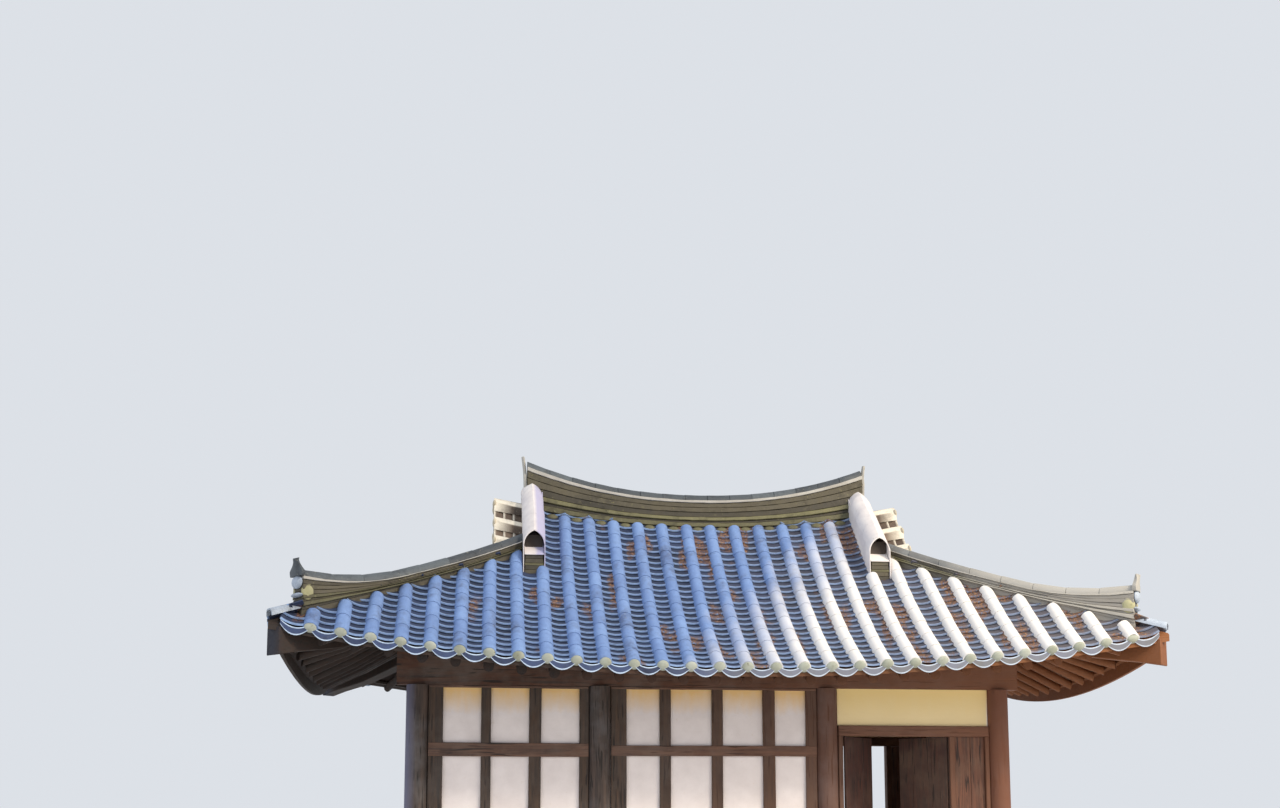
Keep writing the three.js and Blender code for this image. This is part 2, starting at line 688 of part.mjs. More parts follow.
// A ridge section: a seat of three points, upright sides and a round cap
function capRing(seat, high, cap) {
  const half = seat[2].x;
  const round = arc(cap, 0, Math.PI, 6).map((p) => new THREE.Vector2(p.x, p.y + high - cap));
  return [...seat, new THREE.Vector2(half, high - cap), ...round, new THREE.Vector2(-half, high - cap)];
}

// Lower edge of a ridge over the peak of the roof, half wide on each side
function peakSeat(x, half) {
  const low = frontZ(x, half) + SEAT;
  return [[-half, low], [0, frontZ(x, 0) + 2 * GAP], [half, low]].map((p) => new THREE.Vector2(...p));
}

function mainRidge() {
  const xs = [-RIDGE.half, ...COLUMNS.filter((x) => Math.abs(x) < RIDGE.half), RIDGE.half];
  const path = xs.map((x) => V(x, 0, 0));
  const rings = xs.map((x) => {
    const top = RIDGE.z + RIDGE.rise * frac(x, RIDGE.half) ** RIDGE.power;
    return capRing(peakSeat(x, RIDGE.body), top, RIDGE.cap);
  });
  const body = sweep(path, rings[0], (k) => rings[k]);
  const foot = xs.map((x) => {
    const seat = peakSeat(x, RIDGE.foot);
    const high = frontZ(x, 0) + RIDGE.skirt;
    return [...seat, new THREE.Vector2(RIDGE.foot, high), new THREE.Vector2(-RIDGE.foot, high)];
  });
  const skirt = sweep(path, foot[0], (k) => foot[k]);
  const { thick, half } = END_PLATE;
  const top = RIDGE.z + RIDGE.rise + END_PLATE.above;
  const ends = [-1, 1].map((s) => {
    const [a, b] = [s * (RIDGE.half - 1), s * (RIDGE.half + thick + 1)];
    return box(Math.min(a, b), Math.max(a, b), -half, half, top - END_PLATE.height, top);
  });
  return union([body, skirt, ...ends]);
}

// A side profile in YZ, extruded along X from x0
function extrudeAlongX(profile, x0, depth) {
  const shape = new THREE.Shape(profile.map((p) => new THREE.Vector2(...p)));
  const geometry = new THREE.ExtrudeGeometry(shape, { depth, bevelEnabled: false });
  geometry.applyMatrix4(new THREE.Matrix4().set(0, 0, 1, x0, 1, 0, 0, 0, 0, 1, 0, 0, 0, 0, 0, 1));
  return solidOf(geometry);
}

function gableRidge(sign) {
  const { width, head, y: reach, sunk, lap } = GABLE_RIDGE;
  const clearOfRidge = RIDGE.body + 9;
  const ys = [clearOfRidge + 1, 300, 500, 700, 900, reach];
  const fall = (GABLE_RIDGE.top - GABLE_RIDGE.foot) / (reach - head);
  const bottom = (y) => frontZ(GABLE_RIDGE.x, y) - sunk;
  const right = ys.map((y) => [y, GABLE_RIDGE.top - fall * (y - head)]);
  const middle = frontZ(GABLE_RIDGE.x, 0) + lap;
  const profile = [
    ...[...right].reverse().map(([y, z]) => [-y, z]),
    [-clearOfRidge, middle], [clearOfRidge, middle], ...right,
    ...[...ys].reverse().map((y) => [y, bottom(y)]), [0, bottom(0)], ...ys.map((y) => [-y, bottom(y)]),
  ];
  return extrudeAlongX(profile, sign * GABLE_RIDGE.x - width / 2, width);
}

function cornerRidge(sx, sy) {
  const from = GABLE_RIDGE.x + GABLE_RIDGE.width / 2 + 5;
  const inner = HALF_COLUMNS.filter((x) => x > from + 50 && x < CORNER_END);
  const xs = [from, ...inner, CORNER_END - CORNER_RIDGE.short];
  const { rise, riseFrom, riseRun } = CORNER_RIDGE;
  const lift = (x) => CORNER_RIDGE.height + rise * Math.max(0, (x - riseFrom) / riseRun) ** 2;
  const path = xs.map((x) => V(sx * x, sy * hipY(x), frontZ(x, hipY(x))));
  const half = CORNER_RIDGE.width / 2;
  const across = new THREE.Vector2(-HIP.grade, 1).normalize().multiplyScalar(half);
  const rings = xs.map((x) => {
    const [y, z] = [hipY(x), frontZ(x, hipY(x))];
    const edges = [1, -1].map((s) => seatZ(x + s * across.x, y + s * across.y) - z + SEAT);
    const [left, right] = sx * sy > 0 ? edges : [...edges].reverse();
    const seat = [[-half, right], [0, GAP], [half, left]].map((p) => new THREE.Vector2(...p));
    return capRing(seat, lift(x), CORNER_RIDGE.cap);
  });
  const body = sweep(path, rings[0], (k) => rings[k]);
  const end = path[path.length - 1];
  const { thick, half: plateHalf, low, high, lean } = CORNER_PLATE;
  const endPlate = box(-thick / 2, thick / 2, -plateHalf, plateHalf, low, high);
  endPlate.rotateY(lean);
  endPlate.rotateZ(Math.atan2(sy * HIP.grade, sx));
  endPlate.translate(end.x, end.y, end.z);
  return union([body, endPlate]);
}

function gableWall(sign) {
  const { x, thick, reach, up, down } = GABLE_WALL;
  const rows = spread(-reach, reach, 12).map((y) => {
    return { y, low: undersideZ(x, y) + SKIN.full - up, high: frontZ(x, y) - down };
  });
  const lower = rows.map(({ y, low }) => [y, low]);
  const upper = rows.reverse().map(({ y, high }) => [y, high]);
  const wall = extrudeAlongX([...lower, ...upper], sign * (x + thick / 2) - thick / 2, thick);
  return largest(clear(wall, allSlopes));
}

function addRoof() {
  const rows = [frontRows(-1), frontRows(1), sideRows(-1), sideRows(1)];
  ['front_roof_slope', 'back_roof_slope', 'left_roof_slope', 'right_roof_slope'].forEach((name, k) => {
    add(name, union([allSlopes[k], ...rows[k]]), TILE, 0.6);
  });
  const sits = (solid) => largest(cut(cut(solid, allSlopes, UP), allSlopes, DOWN));
  const gables = [-1, 1].map((sign) => sits(gableRidge(sign)));
  add('left_gable_ridge', gables[0], TILE, 0.6);
  add('right_gable_ridge', gables[1], TILE, 0.6);
  add('main_ridge', largest(clear(mainRidge(), gables)), TILE, 0.6);
  for (const [side, sx] of [['left', -1], ['right', 1]]) {
    for (const [row, sy] of [['front', -1], ['back', 1]]) {
      add(`${row}_${side}_corner_ridge`, largest(clear(sits(cornerRidge(sx, sy)), gables)), TILE, 0.6);
    }
    add(`${side}_gable_wall`, gableWall(sx), PLASTER, 0.9);
  }
}

addBase();
addPosts();
for (const [row, sign] of [['front', -1], ['back', 1]]) {
  addBay(row, sign, 'left');
  addBay(row, sign, 'centre');
  addDoorBay(row, sign);
}
addSideWall('left', -1);
addSideWall('right', 1);
addLeaf('left_door_leaf', -1);
addLeaf('right_door_leaf', 1);
addTimberRoof();
addRoof();

export default group;
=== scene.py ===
import json
import math
import random

import bpy
from bpy.props import FloatProperty, FloatVectorProperty, PointerProperty
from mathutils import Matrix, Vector

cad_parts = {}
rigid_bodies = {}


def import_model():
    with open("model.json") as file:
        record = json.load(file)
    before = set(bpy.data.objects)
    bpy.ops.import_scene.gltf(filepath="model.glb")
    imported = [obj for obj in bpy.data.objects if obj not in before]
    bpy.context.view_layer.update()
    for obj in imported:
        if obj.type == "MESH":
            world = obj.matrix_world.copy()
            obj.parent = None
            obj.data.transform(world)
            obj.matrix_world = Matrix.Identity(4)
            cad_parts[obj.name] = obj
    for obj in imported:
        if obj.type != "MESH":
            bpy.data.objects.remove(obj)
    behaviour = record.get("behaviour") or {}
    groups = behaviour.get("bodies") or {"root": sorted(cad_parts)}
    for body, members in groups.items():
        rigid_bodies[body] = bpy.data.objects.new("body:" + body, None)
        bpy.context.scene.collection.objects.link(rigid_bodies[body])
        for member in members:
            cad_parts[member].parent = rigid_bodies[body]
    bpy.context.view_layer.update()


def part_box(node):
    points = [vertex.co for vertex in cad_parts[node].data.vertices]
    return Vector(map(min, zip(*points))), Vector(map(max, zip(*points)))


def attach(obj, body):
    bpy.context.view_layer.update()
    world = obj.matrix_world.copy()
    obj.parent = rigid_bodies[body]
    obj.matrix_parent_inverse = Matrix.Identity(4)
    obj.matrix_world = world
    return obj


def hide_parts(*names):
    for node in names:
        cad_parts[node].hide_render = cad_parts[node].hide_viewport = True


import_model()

bl_info = {
    "name": "Hanok house finish",
    "version": (1, 0, 0),
    "blender": (4, 5, 0),
    "location": "View3D > Sidebar > Hanok",
    "description": "Tiles, ridges, timbers, plaster and doors for a three-bay hanok house",
    "category": "Object",
}

HOUSE = "house"

# How far any piece may reach from the middle, in metres: just inside the roof of the construction model
REACH_X = 4.7935
REACH_Y = 2.6770

# Roof form in metres, the same surface as the construction model
EAVE_Z = 2.890
EAVE_Y = 2.545
EAVE_BOW = 0.102
EAVE_LIFT = 0.430
EAVE_POWER = 2.1
CORNER_X = 4.800
CORNER_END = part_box("front_roof_slope")[1].x
SLOPE_LINEAR = 0.53
SLOPE_SQUARE = 0.116
RIDGE_LIFT = 0.090
RIDGE_LIFT_AT = 1.650
LIFT_RUN = 2.400
LIFT_FADE = 3
HIP_X = 2.100
HIP_Y = 0.640
HIP_GRADE = 0.743
SIDE_BOW = 0.060
SIDE_SAG = 0.330
SKIN_EAVE = 0.070
SKIN_FULL = 0.150
SKIN_GROW = 0.600
VERGE_X = 2.500
VERGE_INNER_X = 2.160
RIDGE_HALF = 2.100
RIDGE_Z = 5.320
RIDGE_RISE = 0.370
GABLE_X = 2.040
GABLE_TOP = 5.415
GABLE_FOOT = 4.640
GABLE_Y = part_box("left_gable_ridge")[1].y
CORNER_RIDGE_H = 0.200
CORNER_RIDGE_END = CORNER_END - 0.260
ROW_PITCH = 0.300

# Posts: their radius, the place of the corner ones and the line of the rows
POST_R = (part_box("front_post_left")[1].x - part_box("front_post_left")[0].x) / 2
POST_X = 3.325
POST_Y = (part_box("back_post_left")[0].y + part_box("back_post_left")[1].y) / 2

# Camera fitted to the eave, the posts and the ridge; the image is 1280 by 808
IMAGE_W = 1280
IMAGE_H = 808
FOCAL_PX = 1400
HORIZON_PX = 808.3
EYE = (-2.605, -POST_Y - 15.667, 1.45)
YAW = 0.112
PITCH = math.radians(7.0)


def eave_y(x):
    return EAVE_Y + EAVE_BOW * (abs(x) / CORNER_X) ** 2


def slope_z(x, inset):
    low = EAVE_LIFT * (abs(x) / CORNER_X) ** EAVE_POWER
    high = RIDGE_LIFT * (x / RIDGE_LIFT_AT) ** 2
    mix = inset / LIFT_RUN
    fade = 1 - max(0, mix) ** LIFT_FADE
    return EAVE_Z + SLOPE_LINEAR * inset + SLOPE_SQUARE * inset * inset + low * fade + high * mix


def front_z(x, y):
    return slope_z(x, eave_y(x) - abs(y))


def hip_y(x):
    return HIP_Y + HIP_GRADE * (abs(x) - HIP_X)


def front_point(sign, x, inset):
    """A point of the front (sign -1) or back slope."""
    return Vector((x, sign * (eave_y(x) - inset), slope_z(x, inset)))


def side_point(sign, y, inset):
    """A point of the left (sign -1) or right slope."""
    at = CORNER_END - inset
    fade = (1 - inset / (CORNER_END - HIP_X)) ** 2
    bulge = 1 - (y / hip_y(at)) ** 2
    z = front_z(at, hip_y(at)) - SIDE_SAG * bulge * fade
    return Vector((sign * (at - SIDE_BOW * bulge * fade), y, z))


def roof_at(x, y):
    """Height of the hipped surface at a point of the plan, and its distance from the eave."""
    ax, ay = abs(x), abs(y)
    if ax <= HIP_X or ay >= hip_y(ax):
        return front_z(ax, ay), eave_y(ax) - ay
    at = ax
    for _ in range(8):
        bulge = 1 - min(1, ay / hip_y(at)) ** 2
        at = min(CORNER_END, ax + SIDE_BOW * bulge * (1 - (CORNER_END - at) / (CORNER_END - HIP_X)) ** 2)
    return side_point(1, ay, CORNER_END - at).z, CORNER_END - at


def underside_z(x, y):
    z, inset = roof_at(x, y)
    return z - (SKIN_EAVE + (SKIN_FULL - SKIN_EAVE) * min(1, max(0, inset) / SKIN_GROW))


# Modelling helpers


def clamp(value, limit):
    return max(-limit, min(limit, value))


def deselect():
    bpy.ops.object.select_all(action="DESELECT")


def activate(obj):
    deselect()
    obj.select_set(True)
    bpy.context.view_layer.objects.active = obj


def apply_modifiers(obj):
    activate(obj)
    for modifier in list(obj.modifiers):
        bpy.ops.object.modifier_apply(modifier=modifier.name)


def face_out(obj):
    """Turns all faces of a closed mesh outwards."""
    activate(obj)
    bpy.ops.object.mode_set(mode="EDIT")
    bpy.ops.mesh.select_all(action="SELECT")
    bpy.ops.mesh.normals_make_consistent(inside=False)
    bpy.ops.object.mode_set(mode="OBJECT")
    return obj


def soften(obj, width, segments=1, angle=30):
    """Bevels the sharp edges of a piece."""
    modifier = obj.modifiers.new("edges", "BEVEL")
    modifier.width = width
    modifier.segments = segments
    modifier.limit_method = "ANGLE"
    modifier.angle_limit = math.radians(angle)
    apply_modifiers(obj)


def thicken(obj, thickness):
    """Gives a flat grid its thickness, inwards from its face."""
    modifier = obj.modifiers.new("thickness", "SOLIDIFY")
    modifier.thickness = thickness
    modifier.offset = -1
    apply_modifiers(obj)


def grid(columns, rows):
    """A flat grid of side 1, to be bent into a plate or tile."""
    deselect()
    bpy.ops.mesh.primitive_grid_add(x_subdivisions=columns, y_subdivisions=rows, size=1)
    return bpy.context.object


def rod(sides, cuts):
    """An upright cylinder of radius 1 and height 1, cut across so that it can bend."""
    deselect()
    bpy.ops.mesh.primitive_cylinder_add(vertices=sides, radius=1, depth=1, location=(0, 0, 0.5))
    obj = bpy.context.object
    bpy.ops.object.transform_apply(location=True, rotation=True, scale=True)
    slice_along(obj, 2, 0.0, 1.0, cuts)
    return obj


def block(low, high, bevel=0.004, cuts=0, segments=1):
    """A timber, tile course or stone between two corners, with softened edges."""
    deselect()
    middle = [(a + b) / 2 for a, b in zip(low, high)]
    bpy.ops.mesh.primitive_cube_add(size=1, location=middle)
    obj = bpy.context.object
    obj.scale = [b - a for a, b in zip(low, high)]
    bpy.ops.object.transform_apply(location=True, rotation=True, scale=True)
    if cuts:
        axis = max(range(3), key=lambda k: high[k] - low[k])
        slice_along(obj, axis, low[axis], high[axis], cuts)
    if bevel:
        soften(obj, bevel, segments)
    return obj


def slice_along(obj, axis, low, high, cuts):
    """Cuts a block across its length so that it can follow a curve."""
    activate(obj)
    bpy.ops.object.mode_set(mode="EDIT")
    normal = [0, 0, 0]
    normal[axis] = 1
    for k in range(1, cuts + 1):
        at = [0, 0, 0]
        at[axis] = low + (high - low) * k / (cuts + 1)
        bpy.ops.mesh.select_all(action="SELECT")
        bpy.ops.mesh.bisect(plane_co=at, plane_no=normal)
    bpy.ops.object.mode_set(mode="OBJECT")


def lay(obj, place):
    """Moves every point of a mesh to where place(x, y, z) says."""
    for vertex in obj.data.vertices:
        vertex.co = place(*vertex.co)
    obj.data.update()
    return obj


def move(obj, by):
    """Moves a mesh as it is."""
    return lay(obj, lambda x, y, z: Vector((x, y, z)) + by)


def copy_of(obj):
    """A copy with its own mesh."""
    twin = obj.copy()
    twin.data = obj.data.copy()
    bpy.context.collection.objects.link(twin)
    return twin


def join(name, parts):
    """Makes one object of the parts of a piece."""
    deselect()
    for part in parts:
        part.select_set(True)
    bpy.context.view_layer.objects.active = parts[0]
    if len(parts) > 1:
        bpy.ops.object.join()
    obj = bpy.context.object
    obj.name = name
    obj.data.name = name
    return obj


def paint(obj, material):
    """Gives a piece one material."""
    obj.data.materials.clear()
    obj.data.materials.append(material)


def finish_piece(name, parts, material, node=None, angle=35, body=HOUSE):
    """Joins the parts of a piece, keeps it within reach, paints it and puts it in place of its node."""
    obj = join(name, parts)
    if body == HOUSE:
        lay(obj, lambda x, y, z: Vector((clamp(x, REACH_X), clamp(y, REACH_Y), z)))
    paint(obj, material)
    activate(obj)
    bpy.ops.object.shade_smooth_by_angle(angle=math.radians(angle))
    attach(obj, body)
    if node:
        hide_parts(node)


def set_tone(obj, tones):
    """Stores one tone from 0 to 1 for each point, for tile-to-tile colour change."""
    layer = obj.data.attributes.new("tone", "FLOAT", "POINT")
    layer.data.foreach_set("value", tones)


def even_tone(obj, tone):
    """Gives all points of a part one tone."""
    set_tone(obj, [tone] * len(obj.data.vertices))
    return obj


def mark_painted_highlight(obj, wear_and_highlight):
    """Stores 1 on the points of a flat grid where a highlight is painted on the clay, 0 elsewhere."""
    layer = obj.data.attributes.new("lip", "FLOAT", "POINT")
    layer.data.foreach_set("value", [1.0 if wear_and_highlight(v.co.x, v.co.y) else 0.0 for v in obj.data.vertices])


# Tiles: the courses up the slope, then the form of one trough tile and of one cover tile
TROUGH_STEP = 0.118
TROUGH_LENGTH = 0.160
TROUGH_LIP = 0.045
TROUGH_HALF = 0.150
TROUGH_SEAT = 0.012
TROUGH_EDGE_RISE = 0.045
TROUGH_STAND = 0.026
TROUGH_THICK = 0.017
ROUND_STEP = 0.285
ROUND_GAP = 0.004
ROUND_R = 0.074
ROUND_FLARE = 0.004
ROUND_SEAT = 0.022
ROUND_THICK = 0.016
ROUND_THIN = 0.008
PLUG = Vector((0.064, 0.024, 0.060))
ARC_STEPS = 44


def arc_table(point, length):
    """Distances along the slope for equal steps of the plan."""
    table = [(0.0, 0.0)]
    for k in range(1, ARC_STEPS + 1):
        inset = length * k / ARC_STEPS
        step = (point(inset) - point(length * (k - 1) / ARC_STEPS)).length
        table.append((table[-1][0] + step, inset))
    return table


def inset_at(table, distance):
    if distance <= 0:
        return distance * table[1][1] / table[1][0]
    for (d0, i0), (d1, i1) in zip(table, table[1:]):
        if distance <= d1:
            return i0 + (i1 - i0) * (distance - d0) / (d1 - d0)
    (d0, i0), (d1, i1) = table[-2:]
    return i1 + (distance - d1) * (i1 - i0) / (d1 - d0)


def surface_place(point, centre, table):
    """Maps (across, along, up) of a flat tile row onto the roof."""
    def place(u, v, w):
        inset = inset_at(table, v)
        here = point(centre + u, inset)
        if abs(w) < 1e-9:
            return here
        up = (point(centre + u, inset + 0.02) - here).cross(point(centre + u + 0.02, inset) - here)
        if up.z < 0:
            up.negate()
        return here + up.normalized() * w
    return place


def trough_tile():
    """One concave tile: a curved plate whose lower edge stands over the next course."""
    tile = grid(6, 2)
    def shape(x, y, z):
        u = x * 2 * TROUGH_HALF
        v = TROUGH_LIP if abs(y) < 0.1 else (y + 0.5) * TROUGH_LENGTH
        rise = TROUGH_EDGE_RISE * (u / TROUGH_HALF) ** 2 + TROUGH_STAND * (1 - v / TROUGH_STEP)
        return Vector((u, v, TROUGH_SEAT + rise))
    # Painted highlight on the lower edge of the tile.
    mark_painted_highlight(tile, lambda x, y: y < -0.4)
    lay(tile, shape)
    thicken(tile, TROUGH_THICK)
    return tile


def round_tile(thickness=ROUND_THICK):
    """One half-round cover tile, slightly wider at its lower end."""
    tile = grid(10, 1)
    def shape(x, y, z):
        angle = math.pi * (0.5 - x)
        v = (y + 0.5) * (ROUND_STEP - ROUND_GAP)
        r = ROUND_R + ROUND_FLARE * (0.5 - y)
        return Vector((r * math.cos(angle), v, ROUND_SEAT + r * math.sin(angle)))
    # Painted highlight on the crest and the lower end of the tile.
    mark_painted_highlight(tile, lambda x, y: abs(x) < 0.15 or y < -0.4)
    lay(tile, shape)
    thicken(tile, thickness)
    return tile


def tile_row(tile, step, count, place, rng, jitter):
    """Repeats a tile up the slope, lays the row on the roof and gives each tile a tone."""
    row = copy_of(tile)
    repeat = row.modifiers.new("repeat", "ARRAY")
    repeat.count = count
    repeat.use_relative_offset = False
    repeat.use_constant_offset = True
    repeat.constant_offset_displace = (0, step, 0)
    apply_modifiers(row)
    each = len(row.data.vertices) // count
    tones = []
    for k in range(count):
        tone = rng.random()
        tones += [tone] * each
        shift, twist = rng.uniform(-jitter, jitter), rng.uniform(-jitter, jitter)
        for vertex in list(row.data.vertices)[k * each:(k + 1) * each]:
            vertex.co.x += shift + twist * (vertex.co.y - k * step) / step
            vertex.co.z += abs(shift) * 0.5
    lay(row, place)
    set_tone(row, tones)
    return row


# Materials


class Tree:
    """Adds nodes to a material or a group, a line at a time."""

    def __init__(self, tree):
        self.tree = tree

    def add(self, kind, inputs=None, **settings):
        node = self.tree.nodes.new(kind)
        for key, value in settings.items():
            setattr(node, key, value)
        for name, value in (inputs or {}).items():
            if isinstance(value, bpy.types.NodeSocket):
                self.tree.links.new(value, node.inputs[name])
            else:
                node.inputs[name].default_value = value
        return node

    def place(self, scale=(1, 1, 1)):
        """Object coordinates, stretched."""
        coords = self.add("ShaderNodeTexCoord")
        return self.add("ShaderNodeMapping", {"Vector": coords.outputs["Object"], "Scale": scale}).outputs[0]

    def noise(self, vector, scale, detail=4, rough=0.55, distortion=0.0):
        return self.add("ShaderNodeTexNoise", {
            "Vector": vector, "Scale": scale, "Detail": detail,
            "Roughness": rough, "Distortion": distortion}).outputs["Fac"]

    def attribute(self, name):
        return self.add("ShaderNodeAttribute", attribute_name=name).outputs["Fac"]

    def span(self, value, low, high, to_low=0.0, to_high=1.0):
        """Rescales a value and keeps it between the new ends."""
        return self.add("ShaderNodeMapRange", {
            "Value": value, "From Min": low, "From Max": high,
            "To Min": to_low, "To Max": to_high}).outputs["Result"]

    def ramp(self, value, *stops):
        node = self.add("ShaderNodeValToRGB", {"Fac": value})
        elements = node.color_ramp.elements
        while len(elements) < len(stops):
            elements.new(0.5)
        for element, (at, color) in zip(elements, stops):
            element.position = at
            element.color = (*color, 1)
        return node.outputs["Color"]

    def mix(self, value, a, b, blend="MIX"):
        node = self.add("ShaderNodeMix", data_type="RGBA", blend_type=blend)
        for socket, given in zip((node.inputs[0], node.inputs[6], node.inputs[7]), (value, a, b)):
            if isinstance(given, bpy.types.NodeSocket):
                self.tree.links.new(given, socket)
            elif isinstance(given, (int, float)):
                socket.default_value = given
            else:
                socket.default_value = (*given, 1) if len(given) == 3 else given
        return node.outputs[2]

    def math(self, operation, a, b=0.0):
        node = self.add("ShaderNodeMath", operation=operation)
        for socket, given in zip(node.inputs, (a, b)):
            if isinstance(given, bpy.types.NodeSocket):
                self.tree.links.new(given, socket)
            else:
                socket.default_value = given
        return node.outputs[0]

    def plus(self, a, b):
        return self.math("ADD", a, b)

    def minus(self, a, b):
        return self.math("SUBTRACT", a, b)

    def times(self, a, b):
        return self.math("MULTIPLY", a, b)

    def axis(self, name):
        """One of the object coordinates, in metres."""
        return self.add("ShaderNodeSeparateXYZ", {"Vector": self.place()}).outputs[name]


def node_group(name, inputs, outputs, build):
    """A shader node group, made once and reused by name."""
    if name in bpy.data.node_groups:
        return bpy.data.node_groups[name]
    group = bpy.data.node_groups.new(name, "ShaderNodeTree")
    for key, value in inputs.items():
        kind = "NodeSocketFloat" if isinstance(value, (int, float)) else "NodeSocketColor"
        kind = "NodeSocketVector" if value is None else kind
        socket = group.interface.new_socket(name=key, in_out="INPUT", socket_type=kind)
        if kind == "NodeSocketFloat":
            socket.default_value = value
        elif kind == "NodeSocketColor":
            socket.default_value = (*value, 1)
    for key, kind in outputs.items():
        group.interface.new_socket(name=key, in_out="OUTPUT", socket_type=f"NodeSocket{kind}")
    tree = Tree(group)
    entry = group.nodes.new("NodeGroupInput")
    exit_node = group.nodes.new("NodeGroupOutput")
    for key, socket in build(tree, entry.outputs).items():
        group.links.new(socket, exit_node.inputs[key])
    return group


def clay_nodes(tree, given):
    """Fired grey clay: a tone for each tile, soot in patches, lichen specks and a painted highlight on the
    marked edges.
    """
    place = tree.place()
    patches = tree.noise(place, 2.1, 3)
    cloud = tree.noise(place, 11.0, 5, 0.65)
    grit = tree.noise(place, 95.0, 3, 0.7)
    tone = tree.attribute("tone")
    level = tree.plus(tree.times(tone, given["Tone amount"]), tree.times(cloud, 0.75))
    body = tree.mix(tree.span(level, 0.25, 0.95), given["Dark"], given["Light"])
    soot = tree.span(tree.times(patches, cloud), 0.24, 0.40, 0.0, 0.75)
    body = tree.mix(soot, body, given["Soot"])
    lichen = tree.span(tree.noise(place, 27.0, 4, 0.7), 0.60, 0.72)
    lichen = tree.times(lichen, tree.span(patches, 0.42, 0.62))
    body = tree.mix(tree.times(lichen, given["Lichen amount"]), body, given["Lichen"])
    # Painted highlight on the points marked lip.
    lip = tree.times(tree.span(tree.attribute("lip"), 0.35, 0.95), given["Painted highlight amount"])
    body = tree.mix(tree.times(lip, tree.span(cloud, 0.25, 0.5, 0.55, 1.0)), body, given["Painted highlight"])
    speckle = tree.ramp(grit, (0.3, (0.28, 0.28, 0.28)), (0.7, (0.8, 0.8, 0.8)))
    color = tree.mix(0.35, body, speckle, "OVERLAY")
    height = tree.plus(tree.times(cloud, 0.6), tree.times(grit, 0.4))
    return {"Color": color, "Roughness": tree.span(cloud, 0.3, 0.7, 0.5, 0.78), "Height": height}


def wood_nodes(tree, given):
    """Old timber: streaks along the grain, dark checks, and grey weathering in patches."""
    streak = tree.noise(given["Grain place"], 26.0, 6, 0.65, 0.6)
    fine = tree.noise(given["Grain place"], 150.0, 3, 0.6)
    check = tree.noise(given["Grain place"], 44.0, 2, 0.4, 0.2)
    place = tree.place()
    patch = tree.noise(place, 2.6, 4, 0.6)
    body = tree.mix(tree.span(streak, 0.32, 0.68), given["Dark"], given["Light"])
    weather = tree.times(tree.span(patch, 0.42, 0.66), given["Weather amount"])
    body = tree.mix(weather, body, given["Weathered"])
    crack = tree.span(check, 0.335, 0.375, 1.0, 0.0)
    body = tree.mix(tree.times(crack, 0.8), body, (0.012, 0.008, 0.006))
    fibres = tree.ramp(fine, (0.3, (0.3, 0.3, 0.3)), (0.7, (0.75, 0.75, 0.75)))
    color = tree.mix(0.3, body, fibres, "OVERLAY")
    rise = tree.minus(tree.plus(streak, tree.times(fine, 0.25)), crack)
    return {"Color": color, "Roughness": tree.span(streak, 0.3, 0.7, 0.62, 0.85), "Height": rise}


def lime_nodes(tree, given):
    """Lime plaster or mortar: broad clouds, fine sand and stains."""
    place = tree.place()
    cloud = tree.noise(place, 3.4, 5, 0.6)
    sand = tree.noise(place, 120.0, 2, 0.6)
    trowel = tree.noise(tree.place((1, 1, 2.2)), 9.0, 3, 0.5, 0.4)
    body = tree.mix(tree.span(cloud, 0.3, 0.7), given["Base"], given["Shade"])
    spots = tree.span(tree.noise(place, 17.0, 4, 0.7), 0.62, 0.76)
    body = tree.mix(tree.times(spots, given["Stain amount"]), body, given["Stain"])
    height = tree.plus(tree.times(trowel, 0.7), tree.times(sand, 0.18))
    return {"Color": body, "Roughness": tree.span(sand, 0.3, 0.7, 0.82, 0.95), "Height": height}


SURFACE_OUT = {"Color": "Color", "Roughness": "Float", "Height": "Float"}
BUMP = {"Clay finish": (0.45, 0.006), "Timber finish": (0.5, 0.004), "Lime finish": (0.35, 0.006)}
BUILDERS = {"Clay finish": clay_nodes, "Timber finish": wood_nodes, "Lime finish": lime_nodes}
GROUP_INPUTS = {
    "Clay finish": {"Dark": (0.03, 0.035, 0.045), "Light": (0.2, 0.23, 0.28), "Soot": (0.02, 0.02, 0.022),
                    "Lichen": (0.35, 0.33, 0.12), "Lichen amount": 0.4, "Tone amount": 0.4,
                    "Painted highlight": (0.3, 0.4, 0.55), "Painted highlight amount": 0.0},
    "Timber finish": {"Grain place": None, "Dark": (0.05, 0.03, 0.02), "Light": (0.2, 0.12, 0.07),
                      "Weathered": (0.2, 0.18, 0.16), "Weather amount": 0.5},
    "Lime finish": {"Base": (0.8, 0.78, 0.76), "Shade": (0.7, 0.67, 0.64), "Stain": (0.5, 0.35, 0.15),
                    "Stain amount": 0.3},
}


def surface(name, finish, values, grain=None, tint=None):
    """A material from one of the finishes; tint(tree, color) may add local colour, such as painted light,
    painted shade and dirt.
    """
    material = bpy.data.materials.new(name)
    material.use_nodes = True
    nodes = material.node_tree.nodes
    shader = nodes["Principled BSDF"]
    tree = Tree(material.node_tree)
    group = tree.add("ShaderNodeGroup", node_tree=node_group(
        finish, GROUP_INPUTS[finish], SURFACE_OUT, BUILDERS[finish]))
    for key, value in values.items():
        group.inputs[key].default_value = value if isinstance(value, (int, float)) else (*value, 1)
    if grain:
        material.node_tree.links.new(tree.place(grain), group.inputs["Grain place"])
    color = group.outputs["Color"]
    if tint:
        color = tint(tree, color)
    strength, distance = BUMP[finish]
    bump = tree.add("ShaderNodeBump", {
        "Strength": strength, "Distance": distance, "Height": group.outputs["Height"]})
    material.node_tree.links.new(color, shader.inputs["Base Color"])
    material.node_tree.links.new(group.outputs["Roughness"], shader.inputs["Roughness"])
    material.node_tree.links.new(bump.outputs["Normal"], shader.inputs["Normal"])
    return material


ALONG_X = (0.06, 1, 1)
ALONG_Y = (1, 0.06, 1)
ALONG_Z = (1, 1, 0.06)


